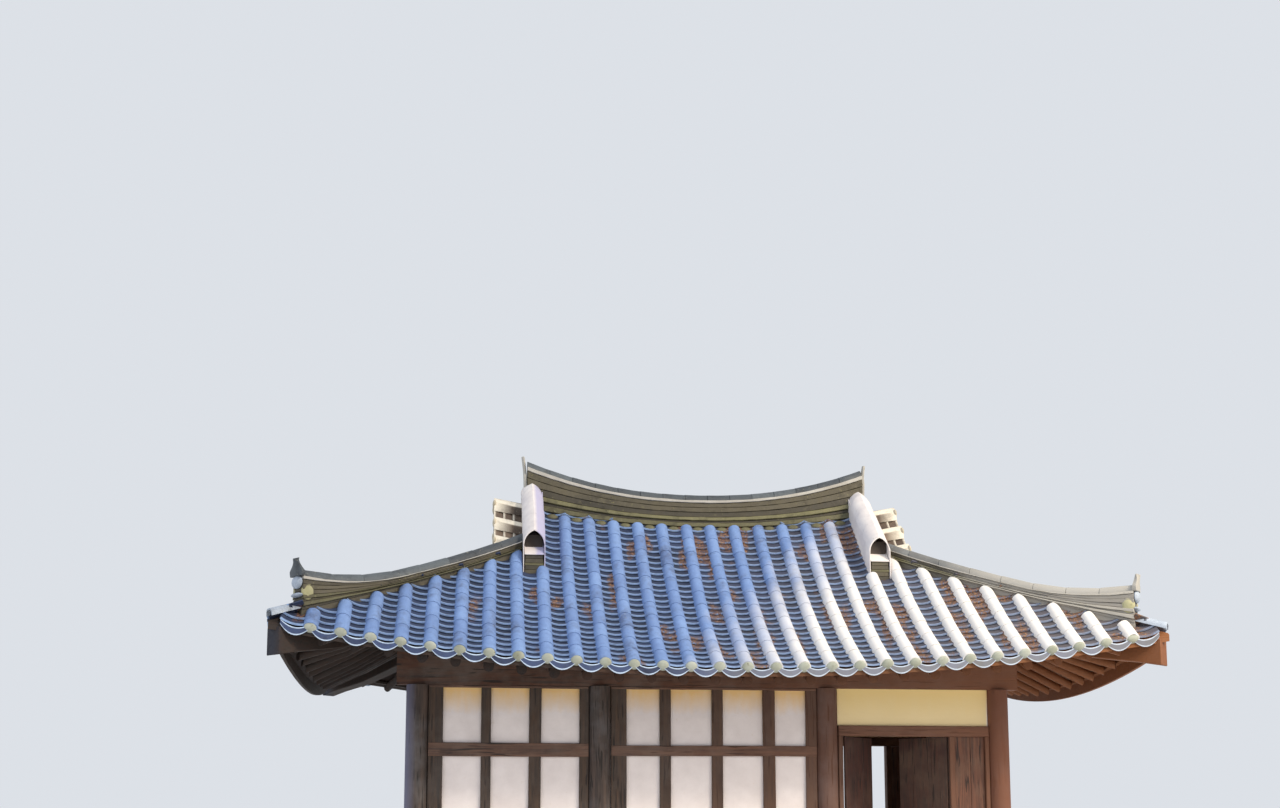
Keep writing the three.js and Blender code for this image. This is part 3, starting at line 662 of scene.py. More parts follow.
def painted_sunlit_side(low_x, high_x, color, amount, tilt=0.0):
    """Painted sunlight: warms or pales a finish towards one end of the house, as on its sunlit side; tilt
    sets the edge further off higher up.
    """
    def tint(tree, base):
        rough = tree.times(tree.noise(tree.place(), 2.4, 3), 1.2)
        along = tree.plus(tree.axis("X"), rough)
        rise = tree.times(tree.minus(tree.axis("Z"), EAVE_Z), tilt)
        along = tree.minus(along, rise)
        return tree.mix(tree.span(along, low_x, high_x, 0.0, amount), base, color)
    return tint


def painted_sky_shade_tip(tree, base):
    """The end of the left corner rafter, in painted blue-black sky shade."""
    return tree.mix(tree.span(tree.axis("X"), -CORNER_END + 0.16, -CORNER_END + 0.05, 0.0, 0.9),
                    base, (0.012, 0.014, 0.026))


def gable_shade(tree, base):
    """Lime in the cool shade on the inner side of the left gable ridge."""
    inner = tree.span(tree.axis("X"), -GABLE_X + 0.005, -GABLE_X + 0.045, 0.0, 0.85)
    left = tree.span(tree.axis("X"), 0.0, -0.5, 0.0, 1.0)
    return tree.mix(tree.times(inner, left), base, (0.40, 0.39, 0.58))


def trough_dirt_and_painted_sunlight(tree, base):
    """Brown dirt caught in some trough rows, and painted sunlight that makes the clay browner towards the
    right end.
    """
    # Painted sunlight: greyer brown clay towards the right end.
    base = painted_sunlit_side(0.0, 4.5, (0.16, 0.13, 0.11), 0.5)(tree, base)
    patch = tree.noise(tree.place((1, 0.45, 0.45)), 2.6, 2, 0.5)
    bits = tree.noise(tree.place(), 38.0, 3, 0.75)
    more = tree.span(tree.axis("X"), -3.0, 3.0, -0.02, 0.06)
    caught = tree.span(tree.plus(patch, more), 0.575, 0.62)
    dirt = tree.times(caught, tree.span(bits, 0.40, 0.52))
    brown = tree.ramp(bits, (0.42, (0.045, 0.018, 0.010)), (0.56, (0.22, 0.10, 0.045)),
                      (0.68, (0.46, 0.30, 0.17)))
    return tree.mix(tree.times(dirt, 0.9), base, brown)


def panel_top_yellow_and_painted_bounce(tree, base):
    """Yellow-brown towards the top of each plaster panel, and painted warm bounce light that turns the
    plaster cream at the door bay.
    """
    wobble = tree.times(tree.noise(tree.place((3.2, 3.2, 1)), 4.0, 4, 0.6), 0.16)
    height = tree.plus(tree.axis("Z"), wobble)
    top_yellow = tree.times(tree.span(height, HEAD_RAIL - 0.20, HEAD_RAIL + 0.06),
                       tree.span(tree.axis("Z"), HEAD_RAIL + 0.05, HEAD_RAIL + 0.06, 1.0, 0.0))
    with_top_yellow = tree.mix(tree.times(top_yellow, 0.9), base, (0.86, 0.55, 0.20))
    # Painted warm bounce light on the plaster of the door bay.
    bay = tree.times(tree.span(tree.axis("X"), 1.25, 1.45, 0.0, 0.8),
                    tree.span(tree.axis("X"), 3.18, 3.20, 1.0, 0.0))
    bay = tree.times(bay, tree.span(tree.axis("Z"), 3.20, 3.40, 1.0, 0.0))
    return tree.mix(bay, with_top_yellow, (0.95, 0.74, 0.33))


def painted_sky_light_edge(tree, base):
    """Painted blue sky light on the outer side of the far left posts."""
    return tree.mix(tree.span(tree.axis("X"), -3.33, -3.43, 0.0, 0.75), base, (0.13, 0.135, 0.22))


# Roof tiles

SLOPES = ("front", "back", "left", "right")
LAP = 0.02
GABLE_INNER_X = 1.70
GABLE_FACE_X = 2.19

# The hanging eave crescents: their edges at the sides, how far they hang in the middle, and the shares
# of the height where the rows of points lie, close together at the rims, which carry a painted highlight
LIP_HALF = 0.146
LIP_TOP = 0.058
LIP_TOP_SWEEP = 0.046
LIP_FOOT = 0.018
LIP_FOOT_SWEEP = 0.078
LIP_OUT = -0.026
LIP_THICK = 0.014
LIP_ROWS = (0.0, 0.13, 0.24, 0.78, 0.90, 1.0)


def slope_row(side, centre):
    """The surface function of a slope, the length of a tile row on it and its handedness."""
    if side in ("front", "back"):
        sign = -1 if side == "front" else 1
        if abs(centre) < GABLE_INNER_X:
            end = 0.06
        elif abs(centre) < HIP_X + 0.05:
            end = GABLE_Y - 0.03 if abs(centre) > 1.85 else 0.06
        else:
            end = hip_y(centre) + LAP
        length = eave_y(centre) - end
        return lambda x, inset: front_point(sign, x, inset), length, -sign
    sign = -1 if side == "left" else 1
    end = max(GABLE_FACE_X, HIP_X + (abs(centre) + LAP - HIP_Y) / HIP_GRADE)
    return lambda y, inset: side_point(sign, y, inset), CORNER_END - end, sign


def slope_centres(side, offset):
    """Row centres across a slope at the tile pitch."""
    half = CORNER_END - 0.05 if side in ("front", "back") else hip_y(CORNER_END) - 0.05
    count = int((half - offset) / ROW_PITCH) + 1
    right = [offset + ROW_PITCH * k for k in range(count)]
    return sorted(set([-c for c in right] + right))


def lay_slope(side, tile, step, start, offset, jitter, rng):
    """All rows of one kind of tile on one slope."""
    rows = []
    for centre in slope_centres(side, offset):
        point, length, hand = slope_row(side, centre)
        table = arc_table(lambda inset: point(centre, inset), length)
        count = round((table[-1][0] - start) / step)
        if count < 1:
            continue
        place = surface_place(point, centre, table)
        wave = rng.uniform(-0.006, 0.006)
        rows.append(tile_row(tile, step, count, lambda u, v, w: place(
            hand * u + wave * math.sin(v * 1.7 + centre), v + start, w), rng, jitter))
    return rows


def each_row_end(side, offset, part, along, up, rng):
    """Copies of a small part at the eave end of every row of a slope."""
    copies = []
    for centre in slope_centres(side, offset):
        point, length, hand = slope_row(side, centre)
        if length < 0.12:
            continue
        table = arc_table(lambda inset: point(centre, inset), length)
        place = surface_place(point, centre, table)
        twin = copy_of(part)
        lift = rng.uniform(-0.004, 0.004)
        lay(twin, lambda u, v, w: place(hand * u, v + along, w + up + lift))
        copies.append(even_tone(twin, rng.random()))
    return copies


def eave_lip():
    """The hanging crescent of an eave trough tile, upright although the tile slopes."""
    lip = grid(10, 5)
    def shape(x, y, z):
        sweep = 1 - (2 * x) ** 2
        top = LIP_TOP - LIP_TOP_SWEEP * sweep
        low = LIP_FOOT - LIP_FOOT_SWEEP * sweep
        high = low + (top - low) * LIP_ROWS[round((y + 0.5) * 5)]
        return Vector((x * 2 * LIP_HALF, LIP_OUT + SLOPE_LINEAR * (high - TROUGH_SEAT), high))
    # Painted highlights on the upper and lower rims of the crescent.
    mark_painted_highlight(lip, lambda x, y: abs(y) > 0.25)
    lay(lip, shape)
    thicken(lip, LIP_THICK)
    soften(lip, 0.003)
    return face_out(lip)


def mortar_plug(stretch=(1, 1, 1)):
    """A lime plug, as closes the open end of a cover tile; stretch suits it to other places."""
    deselect()
    bpy.ops.mesh.primitive_uv_sphere_add(segments=12, ring_count=6, radius=1)
    size = PLUG * Vector(stretch)
    return lay(bpy.context.object, lambda x, y, z: Vector((x, y, z)) * size)


def clear_away(*objects):
    for obj in objects:
        mesh = obj.data
        bpy.data.objects.remove(obj)
        bpy.data.meshes.remove(mesh)


class HANOK_OT_roof_tiles(bpy.types.Operator):
    """Lay trough tiles, cover tiles, eave lips and mortar plugs on the four slopes"""
    bl_idname = "hanok.roof_tiles"
    bl_label = "Roof tiles"

    def execute(self, context):
        rng = random.Random(11)
        settings = context.scene.hanok_roof
        trough, cover = trough_tile(), round_tile()
        lip, plug = eave_lip(), mortar_plug()
        # Trough tiles: grey clay darkened to navy, partly painted shade between the cover rows; painted
        # highlights on the lips, caught dirt, and painted sunlight towards the right end.
        bed = surface("trough tile clay", "Clay finish", {
            "Dark": settings.trough_dark, "Light": settings.trough_light, "Soot": (0.010, 0.014, 0.030),
            "Lichen": (0.20, 0.15, 0.08), "Lichen amount": 0.35, "Painted highlight": settings.lip, "Painted highlight amount": 0.9},
            tint=trough_dirt_and_painted_sunlight)
        # Cover tiles: blue-grey clay saturated to the blue of painted sky shade, and paled by painted
        # sunlight towards the right end.
        top = surface("cover tile clay", "Clay finish", {
            "Dark": settings.cover_dark, "Light": settings.cover_light, "Soot": (0.07, 0.10, 0.20),
            "Lichen": (0.42, 0.42, 0.34), "Lichen amount": 0.35, "Tone amount": 0.2},
            tint=painted_sunlit_side(-0.1, 1.3, (0.84, 0.80, 0.74), 0.85, 0.95))
        # Eave crescents: a navy face of painted shade between painted highlights on the rims, paled a little
        # by painted sunlight towards the right end.
        edge = surface("eave tile clay", "Clay finish", {
            "Dark": settings.trough_dark, "Light": (0.060, 0.095, 0.22), "Lichen amount": 0.3,
            "Painted highlight": (0.50, 0.62, 0.80), "Painted highlight amount": 1.0}, tint=painted_sunlit_side(-0.1, 1.3, (0.50, 0.48, 0.44), 0.3))
        lime = surface("eave mortar", "Lime finish", {
            "Base": (0.46, 0.49, 0.44), "Shade": (0.26, 0.27, 0.20), "Stain": (0.13, 0.12, 0.07),
            "Stain amount": 1.0})
        for side in SLOPES:
            rows = lay_slope(side, trough, TROUGH_STEP, 0.0, 0.0, 0.003, rng)
            finish_piece(f"{side}_trough_tiles", rows, bed, angle=25)
            rows = lay_slope(side, cover, ROUND_STEP, -0.005, ROW_PITCH / 2, 0.002, rng)
            finish_piece(f"{side}_cover_tiles", rows, top, angle=30)
            lips = each_row_end(side, 0.0, lip, 0.0, 0.0, rng)
            finish_piece(f"{side}_eave_lips", lips, edge, angle=40)
            plugs = each_row_end(side, ROW_PITCH / 2, plug, -0.010, 0.034, rng)
            finish_piece(f"{side}_eave_plugs", plugs, lime, angle=60)
        clear_away(trough, cover, lip, plug)
        return {"FINISHED"}


# Ridges


def main_top(x):
    return RIDGE_Z + RIDGE_RISE * (abs(x) / RIDGE_HALF) ** 2.2


def main_foot(x):
    return front_z(x, 0.12)


def gable_top(y):
    return GABLE_TOP - (GABLE_TOP - GABLE_FOOT) / (GABLE_Y - 0.15) * (abs(y) - 0.15)


def gable_top_capped(y):
    """The top of a gable ridge, level where it goes under the main ridge."""
    return gable_top(max(GABLE_START, abs(y)))


def gable_foot(y):
    return front_z(GABLE_X, y)


def corner_foot(x):
    return front_z(x, hip_y(x))


def corner_top(x):
    return corner_foot(x) + CORNER_RIDGE_H + 0.240 * max(0, (abs(x) - 3.5) / 0.985) ** 2


def main_path():
    return (lambda s: Vector((s, 0, 0))), Vector((0, 1, 0))


def gable_path(sx, sy):
    return (lambda s: Vector((sx * GABLE_X, sy * s, 0))), Vector((1, 0, 0))


def corner_path(sx, sy):
    return (lambda s: Vector((sx * s, sy * hip_y(s), 0))), Vector((-sy * HIP_GRADE, sx, 0)).normalized()


def strip(path, span, widths, low, high, cuts, rng, jitter=0.004, bevel=0.004):
    """One course of a ridge: a bar that follows the ridge between two heights."""
    at, across = path
    bar = block((span[0], 0, 0), (span[1], 1, 1), bevel=0, cuts=cuts)
    shifts = {}
    def place(u, v, w):
        key = (round(u, 4), round(v), round(w))
        if key not in shifts:
            shifts[key] = (rng.uniform(-jitter, jitter), rng.uniform(-jitter, jitter) * 0.7)
        wide, tall = shifts[key]
        here = at(u) + across * (widths[0] + (widths[1] - widths[0]) * v + wide)
        here.z = low(u) + (high(u) - low(u)) * w + tall
        return here
    lay(bar, place)
    face_out(bar)
    if bevel:
        soften(bar, bevel, angle=50)
    return even_tone(bar, rng.random())


def between(low, high, share):
    """A height function at a share of the way from one to another."""
    return lambda s: low(s) + (high(s) - low(s)) * share


def raised(base, rise):
    """A height function moved up."""
    return lambda s: base(s) + rise


def cap_row(tile, path, span, top, radius, rng):
    """A row of half-round cap tiles along a ridge."""
    at, across = path
    length = span[1] - span[0]
    count = max(1, round(length / ROUND_STEP))
    stretch = length / (count * ROUND_STEP)
    grow = radius / ROUND_R
    def place(u, v, w):
        s = span[0] + v * stretch
        here = at(s) + across * (u * grow)
        here.z = top(s) - radius + (w - ROUND_SEAT) * grow
        return here
    return face_out(tile_row(tile, ROUND_STEP, count, place, rng, 0.002))


def spike_plate(half, body, tip, thick, lean):
    """An end tile: a plate with a rounded foot that draws in to a curved point."""
    plate = grid(8, 14)
    def shape(x, y, z):
        t = y + 0.5
        high = t * tip
        if high < body:
            width = half * (1 - 0.12 * (1 - high / body) ** 2)
        else:
            width = half * (1 - (high - body) / (tip - body)) ** 1.7 + 0.006
        return Vector((2 * x * width, lean * t ** 2.2 + 0.012 * (1 - (2 * x) ** 2), high))
    lay(plate, shape)
    thicken(plate, thick)
    soften(plate, 0.004)
    return face_out(plate)


def stand_plate(plate, at, across, out):
    """Stands a flat plate at a point, its width along across and its lean along out."""
    lay(plate, lambda u, v, w: at + across * u + out * v + Vector((0, 0, w)))
    return even_tone(face_out(plate), 0.4)


# Ridge courses from the foot up: the shares of the height where one begins and ends, its width as a
# share of the ridge's, and whether it is a rounded pale one. The bedding line goes over them.
COURSES = ((0.00, 0.11, 0.95, False), (0.11, 0.25, 1.20, True), (0.25, 0.33, 0.95, False),
           (0.33, 0.45, 1.13, True), (0.45, 0.61, 0.99, False), (0.61, 0.77, 1.04, False),
           (0.77, 0.92, 1.00, False))
COURSE_JOINT = 0.012
LINE_FROM = 0.92
LINE_WIDE = 1.12

# Main ridge and corner ridges: half the width of the courses, the radius of the caps, how far the
# courses stop under the top, and the end tiles
MAIN_HALF = 0.120
MAIN_CAP_R = 0.092
MAIN_CAP_FOOT = -0.085
MAIN_END = {"half": 0.095, "body": 0.14, "tip": 0.40, "thick": 0.028, "lean": 0.03}
MAIN_END_FOOT = -0.335
FILLER_Y = 0.150
CORNER_HALF = 0.098
CORNER_CAP_R = 0.086
CORNER_CAP_FOOT = -0.078
CORNER_END_TILE = {"half": 0.115, "body": 0.05, "tip": 0.19, "thick": 0.045, "lean": 0.02}

# Gable ridges: each course has the shares of the height where it begins and ends, half its width, its
# kind, and how far its end stands back. The slab is given by its inner and outer face.
GABLE_START = 0.10
GABLE_CAP_R = 0.127
GABLE_CAP_DROP = 0.045
GABLE_COURSES = (
    (-0.02, 0.13, 0.104, "dark", 0.0), (0.14, 0.26, 0.101, "dark", 0.004), (0.27, 0.32, 0.111, "pale", 0.0),
    (0.33, 0.44, 0.103, "dark", 0.003), (0.45, 0.58, 0.101, "dark", 0.005),
    (0.605, 0.97, 0.100, "hollow", 0.10))
GABLE_LINE = (0.585, 0.61)
GABLE_LINE_HALF = 0.112
GABLE_SLAB = (0.117, 0.1265)

# Corner ridges: where they start, and the round tile ends at the foot, each with its stretch sideways,
# how far it stands out, its height and its stretch upwards
CORNER_START = GABLE_X + 0.13
ROUND_ENDS = ((1.55, 0.014, 0.315, 1.20), (1.75, 0.012, 0.180, 0.42))
END_TILE_FOOT = 0.375
END_MORTAR_Y = 0.082


def ridge_courses(path, span, foot, top, half, cuts, rng):
    """The stacked flat tiles of a ridge: the dark courses, the rounded pale ones and the bedding line."""
    dark, pale = [], []
    for low, high, wide, light in COURSES:
        bar = strip(path, span, (-half * wide, half * wide), between(foot, top, low),
                    between(foot, top, high - COURSE_JOINT), cuts, rng, 0.0035, 0.006 if light else 0.003)
        (pale if light else dark).append(bar)
    reach = half * LINE_WIDE
    line = strip(path, span, (-reach, reach), between(foot, top, LINE_FROM), top, cuts, rng, 0.003)
    return dark, pale, [line]


class HANOK_OT_ridges(bpy.types.Operator):
    """Build the main ridge, the gable ridges and the corner ridges from courses and cap tiles"""
    bl_idname = "hanok.ridges"
    bl_label = "Ridges"

    def execute(self, context):
        rng = random.Random(23)
        settings = context.scene.hanok_roof
        # Ridge courses and caps: painted sunlight pales them at the right end, over clay that is partly
        # weathered grey there as well.
        self.dark = surface("ridge course clay", "Clay finish", {
            "Dark": settings.ridge_dark, "Light": settings.ridge_light, "Soot": (0.02, 0.018, 0.014),
            "Lichen": (0.34, 0.31, 0.12), "Lichen amount": 0.6},
            tint=painted_sunlit_side(3.0, 4.0, (0.36, 0.34, 0.31), 0.7))
        self.pale = surface("rounded course clay", "Clay finish", {
            "Dark": (0.055, 0.050, 0.026), "Light": (0.21, 0.195, 0.095), "Soot": (0.03, 0.026, 0.016),
            "Lichen": (0.36, 0.34, 0.18), "Lichen amount": 0.6},
            tint=painted_sunlit_side(3.0, 4.0, (0.46, 0.44, 0.41), 0.75))
        self.cap = surface("cap tile clay", "Clay finish", {
            "Dark": (0.030, 0.036, 0.045), "Light": (0.115, 0.135, 0.15), "Soot": (0.012, 0.012, 0.016),
            "Lichen": (0.40, 0.38, 0.28), "Lichen amount": 0.6},
            tint=painted_sunlit_side(2.6, 4.2, (0.46, 0.44, 0.40), 0.75))
        self.line = surface("bedding mortar", "Lime finish", {
            "Base": (0.52, 0.50, 0.46), "Shade": (0.36, 0.34, 0.30), "Stain": (0.12, 0.11, 0.07),
            "Stain amount": 0.8})
        self.white = surface("gable ridge lime", "Lime finish", {
            "Base": (0.80, 0.75, 0.72), "Shade": (0.58, 0.54, 0.55), "Stain": (0.34, 0.29, 0.22),
            "Stain amount": 0.6}, tint=gable_shade)
        # Gable hollow: the recess under the caps, painted near black as painted shade.
        self.hollow = surface("gable hollow, painted shade", "Clay finish", {
            "Dark": (0.018, 0.012, 0.009), "Light": (0.050, 0.032, 0.020), "Soot": (0.008, 0.006, 0.005),
            "Lichen amount": 0.2})
        self.round_end = surface("corner end tile clay", "Clay finish", {
            "Dark": (0.24, 0.29, 0.38), "Light": (0.48, 0.54, 0.62), "Soot": (0.08, 0.09, 0.11),
            "Lichen": (0.46, 0.46, 0.36), "Lichen amount": 0.6})
        self.corner_lime = surface("corner mortar", "Lime finish", {
            "Base": (0.50, 0.48, 0.30), "Shade": (0.27, 0.26, 0.14), "Stain": (0.12, 0.11, 0.05),
            "Stain amount": 1.0})
        self.tile = round_tile()
        self.thin_tile = round_tile(ROUND_THIN)
        self.main_ridge(rng)
        for sx, side in ((-1, "left"), (1, "right")):
            self.gable_ridge(sx, side, rng)
            for sy, face in ((-1, "front"), (1, "back")):
                self.corner_ridge(sx, sy, f"{face}_{side}_corner_ridge", rng)
        clear_away(self.tile, self.thin_tile)
        return {"FINISHED"}

    def put(self, node, what, parts, material, slot="ridge_tile"):
        """One piece of a ridge, named after its node."""
        finish_piece(f"{node}_{what}", parts, material, node, angle=38)

    def main_ridge(self, rng):
        """Courses, caps, upswept end tiles and the half-round fillers along the foot."""
        node = "main_ridge"
        path = main_path()
        span = (-RIDGE_HALF, RIDGE_HALF)
        cap_low = raised(main_top, MAIN_CAP_FOOT)
        dark, pale, line = ridge_courses(path, span, main_foot, cap_low, MAIN_HALF, 40, rng)
        core = strip(path, span, (-0.09, 0.09), raised(main_foot, -0.03), cap_low, 20, rng, 0)
        self.put(node, "courses", dark + [core], self.dark)
        self.put(node, "rounded_courses", pale, self.pale)
        self.put(node, "bedding", line, self.line, "plaster")
        caps = cap_row(self.tile, path, span, main_top, MAIN_CAP_R, rng)
        seam = strip(path, span, (-0.010, 0.010), raised(main_top, -0.012), raised(main_top, 0.004),
                     40, rng, 0.002)
        self.put(node, "caps", [caps, seam], self.cap)
        ends = []
        for sx in (-1, 1):
            foot = Vector((sx * (RIDGE_HALF + 0.004), 0, RIDGE_Z + RIDGE_RISE + MAIN_END_FOOT))
            ends.append(stand_plate(spike_plate(**MAIN_END), foot, Vector((0, 1, 0)), Vector((sx, 0, 0))))
        self.put(node, "end_tiles", ends, self.line)
        fillers = []
        for sy in (-1, 1):
            for k in range(-6, 7):
                x = ROW_PITCH * k
                filler = mortar_plug((1.25, 1.6, 0.85))
                move(filler, Vector((x, sy * FILLER_Y, front_z(x, FILLER_Y + 0.01) + 0.028)))
                fillers.append(even_tone(filler, 0.5))
        self.put(node, "fillers", fillers, self.pale, "plaster")

    def gable_ridge(self, sx, side, rng):
        """Courses between two limed slabs, an arched hollow over them and the cap tiles."""
        node = f"{side}_gable_ridge"
        body_top = raised(gable_top, -GABLE_CAP_R)
        def at_share(share):
            return between(gable_foot, body_top, share)
        parts = {"dark": [], "pale": [], "hollow": []}
        lime, caps = [], []
        out = (GABLE_START, GABLE_Y - 0.002)
        for sy in (-1, 1):
            path = gable_path(sx, sy)
            for low, high, half, kind, back in GABLE_COURSES:
                parts[kind].append(strip(path, (GABLE_START, GABLE_Y - 0.012 - back), (-half, half),
                                         at_share(low), at_share(high), 6, rng, 0.002, 0.003))
            low, high = GABLE_LINE
            lime.append(strip(path, out, (-GABLE_LINE_HALF, GABLE_LINE_HALF), at_share(low), at_share(high),
                              6, rng, 0.001, 0.003))
            for v in (-1, 1):
                lime.append(strip(path, out, sorted(v * face for face in GABLE_SLAB),
                                  raised(gable_foot, -0.01), raised(body_top, -0.02), 8, rng, 0.001, 0.003))
            row = cap_row(self.thin_tile, path, (0.0, GABLE_Y), gable_top_capped, GABLE_CAP_R, rng)
            caps.append(lay(row, lambda x, y, z: Vector((
                x, y, z - GABLE_CAP_DROP * min(1, abs(x - sx * GABLE_X) / GABLE_CAP_R)))))
        self.put(node, "courses", parts["dark"], self.dark)
        self.put(node, "rounded_courses", parts["pale"], self.pale)
        self.put(node, "hollow", parts["hollow"], self.hollow)
        self.put(node, "lime", lime, self.white, "plaster")
        self.put(node, "caps", caps, self.white)

    def corner_ridge(self, sx, sy, node, rng):
        """Courses and caps down the corner, and the round ends and mortar at its foot."""
        path = corner_path(sx, sy)
        span = (CORNER_START, CORNER_RIDGE_END)
        cap_low = raised(corner_top, CORNER_CAP_FOOT)
        foot = raised(corner_foot, 0.02)
        dark, pale, line = ridge_courses(path, span, foot, cap_low, CORNER_HALF, 22, rng)
        core = strip(path, span, (-0.08, 0.08), raised(corner_foot, -0.05), cap_low, 14, rng, 0)
        self.put(node, "courses", dark + [core], self.dark)
        self.put(node, "rounded_courses", pale, self.pale)
        self.put(node, "bedding", line, self.line, "plaster")
        caps = cap_row(self.tile, path, span, corner_top, CORNER_CAP_R, rng)
        self.put(node, "caps", [caps], self.cap)
        at, across = path
        out = Vector((sx, sy * HIP_GRADE, 0)).normalized()
        tip = at(CORNER_RIDGE_END)
        tip.z = corner_foot(CORNER_RIDGE_END)
        seat = tip - out * 0.010 + Vector((0, 0, END_TILE_FOOT))
        plate = stand_plate(spike_plate(**CORNER_END_TILE), seat, across, out)
        self.put(node, "end_tile", [plate], self.cap)
        knobs = []
        for wide, forward, low, high in ROUND_ENDS:
            knob = lay(mortar_plug((wide, 1.5, high)), lambda x, y, z: (
                tip + across * x + out * (y + forward) + Vector((0, 0, z + low))))
            knobs.append(even_tone(face_out(knob), 0.6))
        knobs.append(self.corner_tile(path, rng))
        self.put(node, "round_ends", knobs, self.round_end)
        wedges = []
        for side in (-1, 1):
            wedge = lay(mortar_plug(), lambda x, y, z: (
                tip + across * (side * END_MORTAR_Y + x * 0.5) + out * (y * 2.9 - 0.060 - z * 0.35)
                + Vector((0, 0, z * 1.5 + 0.215 + y * 0.9))))
            wedges.append(face_out(wedge))
        self.put(node, "end_mortar", wedges, self.corner_lime, "plaster")

    def corner_tile(self, path, rng):
        """The cover tile that goes on from the foot of the ridge to the tip of the corner."""
        at, across = path
        low = CORNER_RIDGE_END - 0.03
        stretch = (CORNER_END - low) / ROUND_STEP
        def place(u, v, w):
            s = CORNER_END - v * stretch
            here = at(s) + across * u
            here.z = corner_foot(s) + w + 0.02
            return here
        return face_out(tile_row(self.tile, ROUND_STEP, 1, place, rng, 0.001))


# Verges: the rows of tiles on each half of a gable
VERGE_ROWS = 3
VERGE_FIRST = 0.16
VERGE_PITCH = 0.28


class HANOK_OT_verges(bpy.types.Operator):
    """Lay the sideways tiles of the gable verges and the boards under them"""
    bl_idname = "hanok.verges"
    bl_label = "Gable verges"

    def execute(self, context):
        rng = random.Random(31)
        settings = context.scene.hanok_roof
        # Verge tiles: the brown body is painted shade on their sides and between them, and the crest colour
        # is a painted highlight on their crests and ends.
        clay = surface("verge tiles, painted shade and highlights", "Clay finish", {
            "Dark": (0.050, 0.034, 0.024), "Light": (0.20, 0.14, 0.10), "Soot": (0.020, 0.014, 0.010),
            "Lichen": (0.46, 0.42, 0.32), "Lichen amount": 0.6, "Painted highlight": settings.verge_crest_highlight,
            "Painted highlight amount": 0.95})
        lime = surface("verge mortar", "Lime finish", {
            "Base": (0.62, 0.56, 0.44), "Shade": (0.40, 0.34, 0.24), "Stain": (0.20, 0.13, 0.07),
            "Stain amount": 0.7})
        board = surface("verge board timber", "Timber finish", {
            "Dark": (0.045, 0.026, 0.016), "Light": (0.14, 0.075, 0.04), "Weather amount": 0.35}, ALONG_Y)
        cover, trough = round_tile(), trough_tile()
        for sx, side in ((-1, "left"), (1, "right")):
            covers, troughs, plugs, boards = [], [], [], []
            for sy in (-1, 1):
                for k in range(VERGE_ROWS):
                    y = VERGE_FIRST + VERGE_PITCH * k
                    covers.append(self.row(cover, sx, sy, y, ROUND_STEP, 1, 0.030, rng))
                    plugs.append(self.plug(sx, sy, y))
                    if k < VERGE_ROWS - 1:
                        middle = y + VERGE_PITCH / 2
                        troughs.append(self.row(trough, sx, sy, middle, TROUGH_STEP, 3, 0.0, rng))
                boards.append(self.board(sx, sy))
            finish_piece(f"{side}_verge_cover_tiles", covers, clay)
            finish_piece(f"{side}_verge_trough_tiles", troughs, clay)
            finish_piece(f"{side}_verge_plugs", plugs, lime, angle=60)
            finish_piece(f"{side}_verge_boards", boards, board)
        clear_away(cover, trough)
        return {"FINISHED"}

    def row(self, tile, sx, sy, y, step, count, up, rng):
        """A row of tiles that runs out sideways to the verge."""
        stretch = (VERGE_X - VERGE_INNER_X) / (count * step)
        def place(u, v, w):
            x = VERGE_X - v * stretch
            here = front_point(-1, x, eave_y(x) - y - u)
            return Vector((sx * x, sy * (y + u), here.z + up + w * 0.9))
        return face_out(tile_row(tile, step, count, place, rng, 0.001))

    def plug(self, sx, sy, y):
        """The lime in the open end of a verge cover tile."""
        z = front_z(VERGE_X, y) + 0.062
        return face_out(lay(mortar_plug(), lambda u, v, w: Vector((
            sx * (VERGE_X - 0.004 + v), sy * y + u, z + w))))

    def board(self, sx, sy):
        """The board under the verge tiles of one half gable."""
        bar = block((0.0, 0, 0), (1.0, 0.030, 0.14), bevel=0, cuts=8)
        def place(u, v, w):
            y = 0.005 + u * (hip_y(VERGE_X) - 0.09)
            low = front_z(VERGE_X, y) - SKIN_FULL - 0.015
            return Vector((sx * (VERGE_X - 0.045 + v), sy * y, low + w))
        return face_out(lay(bar, place))


# Timber frame

# Round rafters: their size, how far they stay under the skin and behind the eave, the parallel ones
# up to RAFTER_LAST, and the fan towards the corners
RAFTER_R = 0.058
RAFTER_DROP = 0.022
RAFTER_PITCH = 0.340
RAFTER_LAST = 2.900
RAFTER_TIP = 0.110
RAFTER_HEEL = 0.16
RAFTER_FAN = 4
FAN_X = 2.96
FAN_Y = 0.85
FAN_STEP = 0.035
FAN_HEEL = 0.095
SIDE_FAN_PITCH = 0.29
SIDE_TIP = 0.16
EAVE_BOARD = {"width": 0.10, "thick": 0.032, "drop": 0.0}
FASCIA = {"width": 0.034, "thick": 0.150, "drop": -0.004}
BOARD_INSET = 0.105
SIDE_BOARD_INSET = 0.10
FASCIA_INSET = 0.055
CORNER_RAFTER_HALF = 0.100
CORNER_RAFTER_H = 0.285


def log(tip, heel, rng):
    """A round rafter under the roof skin between two points of the plan."""
    obj = rod(12, 5)
    ends = [Vector((x, y, 0)) for x, y in (tip, heel)]
    across = (ends[1] - ends[0]).cross(Vector((0, 0, 1))).normalized()
    grow = RAFTER_R * rng.uniform(0.92, 1.06)
    sway = rng.uniform(-0.008, 0.008)
    def place(u, v, w):
        here = ends[0].lerp(ends[1], w)
        here.z = underside_z(here.x, here.y) - grow - RAFTER_DROP
        thick = grow * (0.94 + 0.12 * w)
        return here + across * (u * thick + sway * math.sin(w * 3)) + Vector((0, 0, v * thick))
    return face_out(lay(obj, place))


def evenly(half, steps):
    """Equal steps from -half to half."""
    return [-half + 2 * half * k / steps for k in range(steps + 1)]


